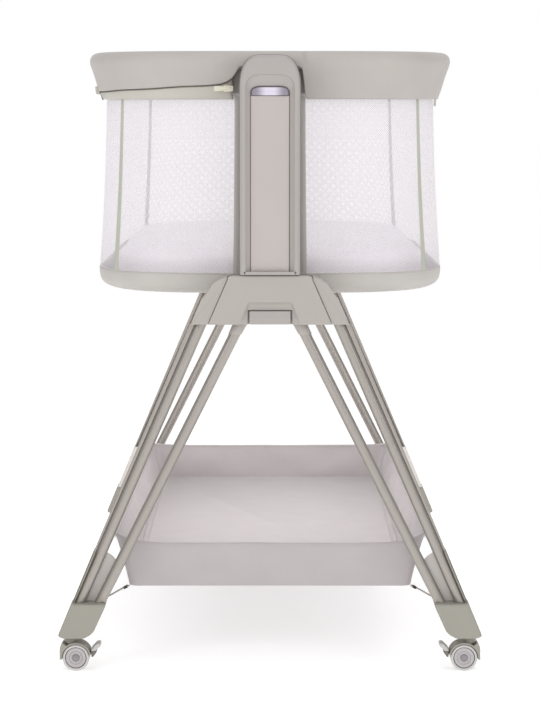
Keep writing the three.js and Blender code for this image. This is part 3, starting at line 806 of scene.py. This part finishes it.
def turned(end):
    """The rear end is the front end turned half round the upright axis."""
    return (lambda rings: rings) if end < 0 else (lambda rings: rings * [-1, -1, 1])


def casing(name, end):
    """Rings from the back face, round the outer edges, over the front lip and down the scooped
    recess to its floor."""
    outer = arch(38.8, 524.6, 806.6, 41.6, 13)
    bend = np.linspace(0, math.pi / 2, 6)
    levels = [(inset(outer, 1.0 * MM), -442.0)]
    levels += [(outer, -443.0), (outer, -465.0), (outer, -486.5)]
    levels += [(inset(outer, 4.5 * MM * (1 - math.cos(t))), -486.5 - 4.5 * math.sin(t))
               for t in bend[1:]]
    scoop = ((31.9, 525.2, 782.2, 17.6, -491.0), (31.5, 525.3, 781.9, 17.4, -490.8),
             (31.2, 525.3, 781.6, 17.2, -490.2), (31.0, 525.3, 781.3, 17, -489.0),
             (30.6, 525.4, 780.8, 16.8, -488.5), (26.4, 525.4, 771.0, 11, -485.3),
             (25.8, 525.4, 768.0, 9.3, -484.8), (25.5, 525.4, 767.5, 9, -484.4),
             (25.4, 525.4, 767.2, 9, -481.0))
    levels += [(arch(half, low, high, shoulder, 11.5), y) for half, low, high, shoulder, y in scoop]
    rings = np.array([np.insert(outline, 1, y * MM, axis=1) for outline, y in levels])
    piece = smooth(surface(name, turned(end)(rings), wrap=(False, True), caps=True), 35)
    modifier(piece, "WEIGHTED_NORMAL", keep_sharp=True, weight=80)
    return piece


def crowned(name, outline, front, back, crown, end, soft=1.0 * MM):
    """A thin slab whose front face bows out across x by crown at the middle."""
    turn = np.linspace(0, math.pi / 2, 5)
    levels = [(outline, back)]
    levels += [(inset(outline, soft * (1 - math.cos(t))), front + soft * (1 - math.sin(t)))
               for t in turn]
    rings = [np.insert(o, 1, y, axis=1) for o, y in levels]
    edge = rings[-1]
    middle = (edge.max(0) + edge.min(0)) / 2
    reach = (edge.max(0) - edge.min(0)) / 2
    half = reach[0]
    for share in (0.15, 0.35, 0.55, 0.75, 0.98):
        shrink = 1 - share * min(reach[0], reach[2]) / np.array([reach[0], 1.0, reach[2]])
        rings.append(middle + (edge - middle) * shrink * [1, 0, 1] + (edge - middle) * [0, 1, 0])
    rings = np.array(rings)
    rings[2:, :, 1] -= crown * (1 - (rings[2:, :, 0] / half) ** 2)
    piece = smooth(surface(name, turned(end)(rings), wrap=(False, True), caps=True), 40)
    modifier(piece, "WEIGHTED_NORMAL", keep_sharp=True, weight=80)
    return piece


casing_plastic = moulded_plastic("moulded_abs_greige", "#ada7a4", roughness=0.4)
inlay_plastic = moulded_plastic("satin_abs_warm_grey", "#bcb4b0", roughness=0.34, grain=0.05)
# The pearl lacquer carries a painted highlight: palest in the middle and greyer to the ends. Its
# dark base colour also stands in for the shade under the shelf.
button_plastic = moulded_plastic("polished_abs_pearl_painted_highlight", "#8c8493", roughness=0.16, grain=0.0,
                                 coat=0.6, middle="#d9d2e4")
outline_shade_plastic = moulded_plastic("moulded_abs_painted_outline_shade", "#87817d", roughness=0.5)
black_plastic = moulded_plastic("moulded_nylon_black", "#2b2a29", roughness=0.55)
for end, label in ((-1, "front"), (1, "rear")):
    dress(casing(f"{label}_casing", end), casing_plastic, "bassinet", "grey_plastic",
          f"{label}_column_casing")
    # The back shell stands 0.8 mm proud of the casing's outline in a dark grey: a painted shadow
    # line round the casing.
    shell = moulding(f"{label}_casing_back", arch(39.6, 524.3, 807.4, 42, 13), -482.5 * MM,
                     -442 * MM, 0.5 * MM, 1.2 * MM, turned(end))
    dress(shell, outline_shade_plastic, "bassinet", "grey_plastic")
    panel = rounded([[-24.9, 525.6], [24.9, 525.6], [24.9, 754.7], [-24.9, 754.7]], 0.6) / 1000
    dress(crowned(f"{label}_inlay", panel, -485.6 * MM, -482.6 * MM, 1.3 * MM, end),
          inlay_plastic, "bassinet", "inlay_plastic", f"{label}_inlay_panel")
    button = arch(23.6, 755.2, 765.8, 7.5, 12)
    dress(crowned(f"{label}_button", button, -486.2 * MM, -484.4 * MM, 1.6 * MM, end),
          button_plastic, f"{label}_height_button", "button_plastic", f"{label}_height_button")
    bracket = moulding(f"{label}_bracket", arch(37, 749, 788.6, 12, 20), -441.7 * MM, -416.6 * MM,
                       place=turned(end))
    dress(bracket, black_plastic, "bassinet", "black_plastic", f"{label}_rim_bracket")


# --- End frames: hub and legs ------------------------------------------------------------
# Moulded ABS hub halves clamp the post. Each leg pair is held in a socket beside them, with
# a wide button in the hub's notch that frees the legs to fold.

def hub_half_width(z):
    """Half the width of the hub's front face, in metres, at a height in millimetres."""
    return np.interp(z, [460, 465, 518.4, 522.3, 524], [79.8, 78.2, 54.8, 54.4, 48]) * MM


def hub_cover(name, end):
    """A height field: a flat face with rolled edges, dished round the button's deep notch."""
    z = np.concatenate([[460, 460.15, 460.6, 461.3, 462.2], np.arange(463.4, 477.5, 1.3),
                        [478.2, 478.6, 479.0, 479.6], np.arange(480.6, 521, 1.5),
                        [521.8, 522.6, 523.3, 523.8, 524]])
    notch_edge = np.array([28.5, 28.9, 29.3])
    inner = np.sort(np.concatenate([np.linspace(-43, 43, 50), -notch_edge, notch_edge]))
    outer = 1 - (1 - np.linspace(0, 1, 12)[1:]) ** 1.8
    half = hub_half_width(z)[:, None]
    right = 43 * MM + (half - 43 * MM) * outer[None, :]
    x = np.concatenate([-right[:, ::-1], np.broadcast_to(inner * MM, (len(z), 56)), right], 1)
    z = np.broadcast_to(z[:, None] * MM, x.shape)
    y = -486.3 * MM
    for edge, roll in ((half - np.abs(x), 0.8 * MM), (z - 460 * MM, 1.2 * MM),
                       (524 * MM - z, 2.4 * MM)):
        lip = 1 - np.clip(edge / roll, 0, 1)
        y = y + roll * (1 - np.sqrt(1 - lip ** 2))
    flare = 29 * MM + np.clip(489 * MM - z, 0, 1) * 0.42 - np.abs(x)
    dish = np.clip(np.minimum(flare, 490 * MM - z) / (4.2 * MM), 0, 1)
    y = y + 3.6 * MM * dish ** 2 * (3 - 2 * dish)
    y = np.where((np.abs(x) < 28.7 * MM) & (z < 478.8 * MM), -476.6 * MM, y)
    back = np.maximum(-484.2 * MM, y + 1.0 * MM)
    back = np.where((z > 518.8 * MM) & (np.abs(x) < 47.8 * MM), -479.4 * MM, back)
    front_rows = np.stack([x, y, z], 2)
    back_rows = np.stack([x, back, z], 2)[:, ::-1]
    rings = turned(end)(np.concatenate([front_rows, back_rows], 1))
    return smooth(surface(name, rings, wrap=(False, True), caps=True), 38)


def mirrored(end, side):
    """Turns a left front piece's points to another end and side of the stand."""
    return lambda rings: turned(end)(rings * [side, 1, 1])


def slab(name, corners, radius, front, back, place, soft=1.6):
    """A moulded slab from corner points, corner radius and depth, all in millimetres."""
    return moulding(name, rounded(corners, radius) * MM, front * MM, back * MM, soft * MM,
                    0.6 * MM, place)


def leaning(name, top_x, slope, place, section, top=459.7, bottom=90.6, steps=16):
    """A bar in the leg plane. section(height share) gives its outline, across and along y."""
    z = np.linspace(bottom, top, steps)
    centre = top_x - (459.7 - z) * slope
    stretch = math.hypot(1, slope)
    rings = []
    for height, x, level in zip(np.linspace(0, 1, steps), centre, z):
        outline = section(height)
        rings.append(np.stack([x + outline[:, 0] * stretch, outline[:, 1] - 465,
                               np.full(len(outline), level)], 1))
    return smooth(surface(name, place(np.array(rings) * MM), wrap=(False, True), caps=True), 40)


def round_section(radius, count=36):
    """A circle of points."""
    t = np.linspace(0, 2 * math.pi, count, endpoint=False)
    return np.stack([radius * np.cos(t), radius * np.sin(t)], 1)


def ribbed_section(height):
    """The outer tube: a round with a raised rib on its outer side and a groove at the joint."""
    t = np.radians(np.linspace(-152, 152, 33))
    body = np.stack([7 * np.cos(t), 7 * np.sin(t)], 1)
    reach = -9.0 - 4.6 * height
    rib = np.array([[-7.3, 2.2], [-7.7, 3.5], [-8.2, 3.8], [reach + 0.9, 3.8], [reach + 0.2, 3.3],
                    [reach, 2.4]])
    return np.concatenate([body, rib, rib[::-1] * [1, -1]])


def lathed(name, profile, centre, place, axis="y", count=48):
    """A turned form: (radius, distance) pairs round an axis through a centre, in millimetres."""
    t = np.linspace(0, 2 * math.pi, count, endpoint=False)
    r = np.maximum(np.array(profile)[:, 0], 0.02)[:, None]
    far = np.broadcast_to(np.array(profile)[:, 1][:, None], (len(profile), count))
    a, b = r * np.cos(t), r * np.sin(t)
    rings = np.stack([a, far, b] if axis == "y" else [a, b, far], 2) + np.array(centre)
    return smooth(surface(name, place(rings * MM), wrap=(False, True), caps=True), 32)


def anodised_metal(name, code, roughness=0.36):
    """Champagne anodised aluminium tube, drawn and brushed lengthwise: a soft satin sheen with
    hair-fine streaks down the tube and darker edges."""
    material, tree = blank_material(name)
    place = node(tree, "TexCoord")
    drawn = node(tree, "Mapping", {"Vector": place.outputs["Object"], "Scale": (1, 1, 0.02)})
    streak = node(tree, "TexNoise", {"Vector": drawn.outputs[0], "Scale": 900.0, "Detail": 3.0})
    cloud = node(tree, "TexNoise", {"Vector": place.outputs["Object"], "Scale": 9.0})
    rough = node(tree, "MapRange", {"Value": streak.outputs["Fac"], "To Min": roughness - 0.07,
                                    "To Max": roughness + 0.09})
    shade = node(tree, "MapRange", {"Value": cloud.outputs["Fac"], "To Min": 0.96, "To Max": 1.03})
    base = node(tree, "VectorMath", {0: colour(code)[:3], "Scale": shade.outputs[0]},
                operation="SCALE")
    bump = node(tree, "Bump", {"Height": streak.outputs["Fac"], "Strength": 0.08,
                               "Distance": 0.1 * MM})
    shader = node(tree, "BsdfPrincipled", {
        "Base Color": base.outputs[0], "Metallic": 0.65, "Roughness": rough.outputs[0],
        "IOR": 1.5, "Normal": bump.outputs[0]})
    node(tree, "OutputMaterial", {"Surface": shader.outputs[0]})
    return material


tube_metal = anodised_metal("anodised_aluminium_champagne", "#aba59f")
foot_plastic = moulded_plastic("moulded_nylon_taupe", "#9d9a90", roughness=0.44, grain=0.15)
dark_plastic = moulded_plastic("moulded_nylon_shadow_grey", "#77736d", roughness=0.5)
# The foot plate's colour is far paler than the foot shell's. This is partly its own lighter tone
# and partly painted light that lifts the shade the tubes cast on it.
plate_plastic_painted_light = moulded_plastic("moulded_nylon_taupe_painted_light", "#d8d3ce", roughness=0.44, grain=0.15)
disc_plastic = moulded_plastic("moulded_pp_mauve_grey", "#b9b4b6", roughness=0.4)
tyre_plastic = moulded_plastic("moulded_tpe_light_grey", "#c9c7c5", roughness=0.55, grain=0.2)
cap_plastic = moulded_plastic("polished_abs_grey", "#8a8587", roughness=0.1, grain=0.0, coat=0.8)
hub_plastic = moulded_plastic("moulded_abs_warm_grey", "#b1aba6", roughness=0.38)
toggle_plastic = moulded_plastic("moulded_acetal_charcoal", "#4a4744", roughness=0.45)

for kept in ("rim_tube", "drop_rail", "front_post", "rear_post"):
    for place_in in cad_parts[kept].material_slots:
        place_in.link = "OBJECT"
        place_in.material = tube_metal

WHEEL_CENTRE = (-256.3, -465, 17.6)
for end, label in ((-1, "front"), (1, "rear")):
    stand = f"{label}_stand"
    dress(hub_cover(f"{label}_hub_face", end), hub_plastic, stand, "grey_plastic",
          f"{label}_hub_cover")
    back_corners = [[-98, 460], [98, 460], [98, 465], [83.2, 498.7], [74.8, 512.7], [63.5, 519.8],
                    [48, 524], [-48, 524], [-63.5, 519.8], [-74.8, 512.7], [-83.2, 498.7],
                    [-98, 465]]
    dress(slab(f"{label}_hub_plate", back_corners, 4, -448.6, -441, turned(end), 0.8),
          hub_plastic, stand, "grey_plastic", f"{label}_hub_back")
    crease = np.array([[-480.5, 477.8], [-486.0, 477.7], [-486.9, 477.2], [-488.6, 469.2],
                       [-488.55, 468.2], [-488.1, 461.2], [-487.2, 460.6], [-480.5, 460.6]])
    across = np.array([-26.4, -26.2, -25.6, -24.4, 24.4, 25.6, 26.2, 26.4])
    shrink = np.array([0.86, 0.95, 0.985, 1, 1, 0.985, 0.95, 0.86])
    middle = crease.mean(0)
    rings = np.array([np.insert(middle + (crease - middle) * s, 0, x, axis=1)
                      for x, s in zip(across, shrink)]) * MM
    fold_key = smooth(surface(f"{label}_fold_key", turned(end)(rings), wrap=(False, True),
                              caps=True), 30)
    dress(fold_key, casing_plastic, f"{label}_fold_button", "grey_plastic", f"{label}_fold_button")
    for side in (1, -1):
        leg = f"{label}_{'left' if side * end < 0 else 'right'}"
        place = mirrored(end, side)
        flank = slab(f"{leg}_flank", [
            [-55.3, 521.8], [-63.5, 519.8], [-74.8, 512.7], [-83.2, 498.7], [-88.8, 493.1],
            [-101.6, 463.5], [-103, 460], [-80.4, 460], [-78.6, 465.2], [-55.3, 518.4],
        ], [1, 18, 20, 20, 20, 4, 1, 1, 1, 1], -483.8, -453, place, 0.8)
        arm = slab(f"{leg}_arm", [[-95, 460], [-30, 460], [-30, 466], [-46, 481], [-58, 508],
                                  [-75, 508]], 2, -477, -453, place)
        collar = leaning(f"{leg}_collar", -38.9, 0.502, place,
                         lambda h: round_section(7.9 + 0.7 * h), 460.4, 446, 4)
        dress(joined(f"{leg}_socket", [flank, arm, collar]), hub_plastic, f"{leg}_leg",
              "grey_plastic", f"{leg}_leg_socket")
        outer = leaning(f"{leg}_ribbed_tube", -89.7, 0.437, place, ribbed_section)
        dress(outer, tube_metal, f"{leg}_leg", "leg_tube", f"{leg}_outer_tube")
        inner = leaning(f"{leg}_round_tube", -38.9, 0.502, place, lambda h: round_section(7))
        dress(inner, tube_metal, f"{leg}_leg", "leg_tube", f"{leg}_inner_tube")
        block = slab(f"{leg}_block", [
            [-280, 47], [-272, 44.3], [-245, 44.3], [-237, 48.8], [-232, 53.7], [-215.2, 90.3],
            [-262, 90.3],
        ], [3.5, 5, 8, 8, 8, 3.5, 3], -484, -447, place, 2.6)
        plate = slab(f"{leg}_plate", [
            [-262, 88], [-218, 88], [-216.5, 100], [-202, 136], [-203.5, 143], [-209, 149],
            [-221, 157.5], [-232.5, 159.3],
        ], [2, 2, 4, 6, 5, 6, 8, 2], -457.6, -447, place, 1.2)
        sleeve = slab(f"{leg}_sleeve", [[-262.4, 87], [-259.2, 87], [-229.4, 157.4],
                                        [-232.2, 159.4]], 0.8, -473, -448, place, 1.0)
        dress(joined(f"{leg}_foot", [block, sleeve]), foot_plastic, f"{leg}_leg",
              "foot_plastic", f"{leg}_foot_shell")
        dress(plate, plate_plastic_painted_light, f"{leg}_leg", "foot_plastic")
        sweep = np.radians(np.linspace(12, 128, 22))[:, None]
        back_sweep = np.radians(np.linspace(186, 12, 30))[:, None]
        spoke = np.array([[WHEEL_CENTRE[0], WHEEL_CENTRE[2]]])
        hood_outline = np.concatenate([
            spoke + 20.3 * np.concatenate([np.cos(sweep), np.sin(sweep)], 1),
            [[-273.2, 37.6], [-276.6, 33.5], [-277.5, 29], [-277.5, 15.2]],
            spoke + 18.25 * np.concatenate([np.cos(back_sweep), np.sin(back_sweep)], 1)])
        hood = moulding(f"{leg}_hood", hood_outline * MM, -479.5 * MM, -450.5 * MM, 0.4 * MM,
                        0.4 * MM, place)
        web_outline = np.concatenate([
            spoke + 19.6 * np.concatenate([np.cos(sweep), np.sin(sweep)], 1),
            [[-276.6, 30], [-276.6, 16], [-261.3, 12.6], [-250.3, 14.6]]])
        web = moulding(f"{leg}_web", web_outline * MM, -467.4 * MM, -462.6 * MM, 0.5 * MM,
                       0.5 * MM, place)
        neck = lathed(f"{leg}_neck", [(0, 36), (8.5, 36), (8.5, 42.4), (7.6, 43.4), (4.2, 43.8),
                                      (4.0, 57), (3.2, 58), (0, 58)], (-264, -465, 0), place, "z")
        dress(joined(f"{leg}_fork", [hood, web, neck]), foot_plastic, f"{leg}_caster",
              "foot_plastic", f"{leg}_caster_body")
        tyres = []
        discs = []
        caps = []
        for face in (-1, 1):
            tread = [(14.1, 4), (14.1, 13.2), (14.6, 13.9), (15.6, 14.0), (16.9, 13.5),
                     (17.5, 12.3), (17.6, 11), (17.6, 5.5), (17.2, 4.1), (16.2, 3.3),
                     (14.1, 3.3), (14.1, 4)]
            disc = [(0, 4), (13.3, 4), (13.45, 12.0), (13.1, 12.7), (12.5, 12.9), (9.6, 12.5),
                    (9.0, 12.3), (8.8, 11.6), (8.4, 11.6), (8.2, 12.3), (6.2, 12.4), (5.3, 12.4),
                    (5.1, 11.7), (0, 11.7)]
            cap_profile = [(0, 11.8), (4.6, 11.8), (4.65, 12.9), (4.2, 13.5), (3.0, 13.85),
                           (0, 14.0)]
            for store, profile, word in ((tyres, tread, "tyre"), (discs, disc, "disc"),
                                         (caps, cap_profile, "axle_cap")):
                store.append(lathed(f"{leg}_{word}", [(r, face * y) for r, y in profile],
                                    WHEEL_CENTRE, place))
        dress(joined(f"{leg}_wheel_tyres", tyres), tyre_plastic, f"{leg}_wheels",
              "wheel_plastic", f"{leg}_caster_wheels")
        dress(joined(f"{leg}_wheel_discs", discs), disc_plastic, f"{leg}_wheels", "wheel_plastic")
        dress(joined(f"{leg}_wheel_caps", caps), cap_plastic, f"{leg}_wheels", "wheel_plastic")
        pedal = slab(f"{leg}_pedal_lever", [[-236.1, 26.3], [-230.8, 26.8], [-223.5, 32.9],
                                            [-225, 36], [-229, 35.5], [-236.2, 28.2]],
                     [0.8, 2, 1.4, 1.6, 2, 2], -477, -453, place, 0.8)
        dress(pedal, tyre_plastic, f"{leg}_pedal", "wheel_plastic", f"{leg}_brake_pedal")
        stub = slab(f"{leg}_pedal_shoe", [[-236, 18.4], [-233.8, 18], [-229.0, 24.6],
                                          [-230.2, 27.4], [-236.1, 27.2]],
                    0.8, -475.5, -454.5, place, 0.8)
        dress(stub, dark_plastic, f"{leg}_pedal", "wheel_plastic")


# --- Basket ------------------------------------------------------------------------------
# A storage basket sewn from one layer of greige polyester with a hemmed top edge. A thin
# board stiffens its floor, and webbing straps with small toggles tie it to the feet.

FLOOR_HALF_X = 187.5 * MM
FLOOR_HALF_Y = 438.5 * MM
CORNER_REACH = 60 * MM


def basket_ring(half_x, half_y, corner=12 * MM, steps=9):
    """A level rectangle with round corners, sides sampled every 15 mm."""
    turn = np.linspace(0, math.pi / 2, steps)
    arc = np.stack([half_x - corner + corner * np.cos(turn),
                    half_y - corner + corner * np.sin(turn)], 1)
    side = np.stack([np.full(29, half_x), np.linspace(0, half_y - corner, 30)[:-1]], 1)
    end = np.stack([np.linspace(half_x - corner, 0, 18)[1:], np.full(17, half_y)], 1)
    quarter = np.concatenate([side, arc, end])
    half = np.concatenate([quarter, quarter[::-1][1:] * [-1, 1]])
    return np.concatenate([half, half[::-1][1:-1] * [1, -1]])


def basket_shell():
    """Rings from the middle of the floor out to the walls and up to the hem. The walls bow and
    ripple between the corners, most at mid height. The corners are pulled out and up, less so
    towards the rear."""
    share = np.linspace(0, 1, 26)
    rings = [np.insert(basket_ring(FLOOR_HALF_X * s, FLOOR_HALF_Y * s, 12 * MM * s), 2,
                       107.2 * MM, axis=1) for s in (0.02, 0.2, 0.4, 0.6, 0.8, 0.94, 0.985)]
    base = basket_ring(FLOOR_HALF_X, FLOOR_HALF_Y)
    from_side = np.minimum(np.abs(np.abs(base[:, 0]) - FLOOR_HALF_X) / CORNER_REACH, 1)
    from_end = np.minimum(np.abs(np.abs(base[:, 1]) - FLOOR_HALF_Y) / CORNER_REACH, 1)
    reach = np.minimum(1, from_side + from_end)
    walk = np.append(0, np.cumsum(np.linalg.norm(np.diff(base, axis=0), axis=1)))
    rng = np.random.default_rng(21)
    phase = rng.uniform(0, 6.28, 8)
    for s in share:
        ring = basket_ring((188 + 9.3 * s) * MM, (438.5 + 0.8 * s) * MM)
        away = np.zeros_like(ring)
        away[np.abs(ring[:, 0]) > (175 + 9.3 * s) * MM, 0] = 1
        away[np.abs(ring[:, 1]) > 427 * MM, 1] = 1
        away *= np.sign(ring)
        bow = sum(a * np.sin(walk / w + p + 2.2 * s * q) for a, w, p, q in zip(
            (0.9, 0.6, 0.45, 0.3), (0.052, 0.031, 0.019, 0.012), phase, (1, -1, 2, -2)))
        depth = (1.3 * math.sin(math.pi * min(s * 1.05, 1)) + 0.25) * MM
        ring = ring - away * (depth * (1.1 + 0.8 * bow) * reach)[:, None]
        tied = np.exp(-np.clip(184 * MM - np.abs(base[:, 0]), 0, 1) / 0.014)
        tied = tied * (0.62 - 0.38 * base[:, 1] / FLOOR_HALF_Y) * s ** 1.3
        ring = ring + np.sign(ring) * tied[:, None] * [9.5 * MM, 1.5 * MM]
        level = (106.2 + 58.6 * s) * MM + 12 * MM * tied - 0.5 * MM * s * reach * (1 + 0.5 * bow)
        rings.append(np.insert(ring, 2, level, axis=1))
    return np.array(rings)


basket_rings = basket_shell()
basket_cloth = woven_cloth("woven_polyester_rose_greige", "#d3cdce", thread=1.1, mottle=0.03,
                           thin=0.3)
basket = smooth(surface("basket_cloth", basket_rings, wrap=(False, True), facing=1), 70)
modifier(basket, "SOLIDIFY", thickness=1.8 * MM, offset=-1.0)
dress(basket, basket_cloth, "front_stand", "basket_fabric", "basket")
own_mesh(basket)

hem_rows = []
for drop, out in ((3.2, 0.0), (2.8, 0.35), (1.0, 0.4), (0.1, 0.1), (-0.3, -0.9), (0.1, -1.9),
                  (1.0, -2.2), (3.2, -2.2)):
    row = basket_rings[-1].copy()
    grow = np.sign(row[:, :2]) * out * MM * (np.abs(row[:, :2]) > np.array([184, 427]) * MM)
    row[:, :2] += grow
    row[:, 2] -= drop * MM
    row[:, 0] *= 1 - max(drop, 0) * 0.155 / 197.3
    hem_rows.append(row)
hem = smooth(surface("basket_hem", np.array(hem_rows), wrap=(False, True), facing=1), 60)
dress(hem, basket_cloth, "front_stand", "basket_fabric")
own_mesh(hem)

board = surface("basket_floor_board", np.array([
    np.insert(basket_ring((178 - inward) * MM, (429 - inward) * MM, 8 * MM), 2, z * MM, axis=1)
    for inward, z in ((0.6, 108.8), (0, 109.4), (0, 111.2), (0.6, 111.8))]),
    wrap=(False, True), caps=True)
dress(smooth(board, 40), basket_cloth, "front_stand", "basket_fabric", "basket_board")
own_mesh(board)

webbing = woven_cloth("webbing_taupe", "#bdb8b3", thread=1.4, lift=0.6, sheen=0.05)
for end, label in ((-1, "front"), (1, "rear")):
    for side, word in ((-1, "left"), (1, "right")):
        run = curve_through([[-187, 107.5], [-193, 105.2], [-201, 101], [-209, 96.4], [-217, 92]],
                            16) * [-side, 1]
        width = np.linspace(-446, -439, 5)
        grid = np.stack(np.broadcast_arrays(run[:, :1], end * -width[None, :], run[:, 1:]), 2) * MM
        grid[:, :, 0] = np.sign(side) * np.abs(grid[:, :, 0])
        strap = smooth(surface(f"basket_strap_{label}_{word}", grid, facing=1), 60)
        modifier(strap, "SOLIDIFY", thickness=1.4 * MM, offset=0.0)
        dress(strap, webbing, "front_stand", "basket_fabric")
        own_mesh(strap)
        toggle = slab(f"basket_toggle_{label}_{word}",
                      [[-194, 102.6], [-188.5, 105.4], [-189.8, 108.4], [-195.6, 105.4]],
                      1.2, -446, -438,
                      lambda rings, s=side, e=end: turned(e)(rings * [s * e, 1, 1]), 0.8)
        dress(toggle, toggle_plastic, "front_stand", "black_plastic")
        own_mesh(toggle)
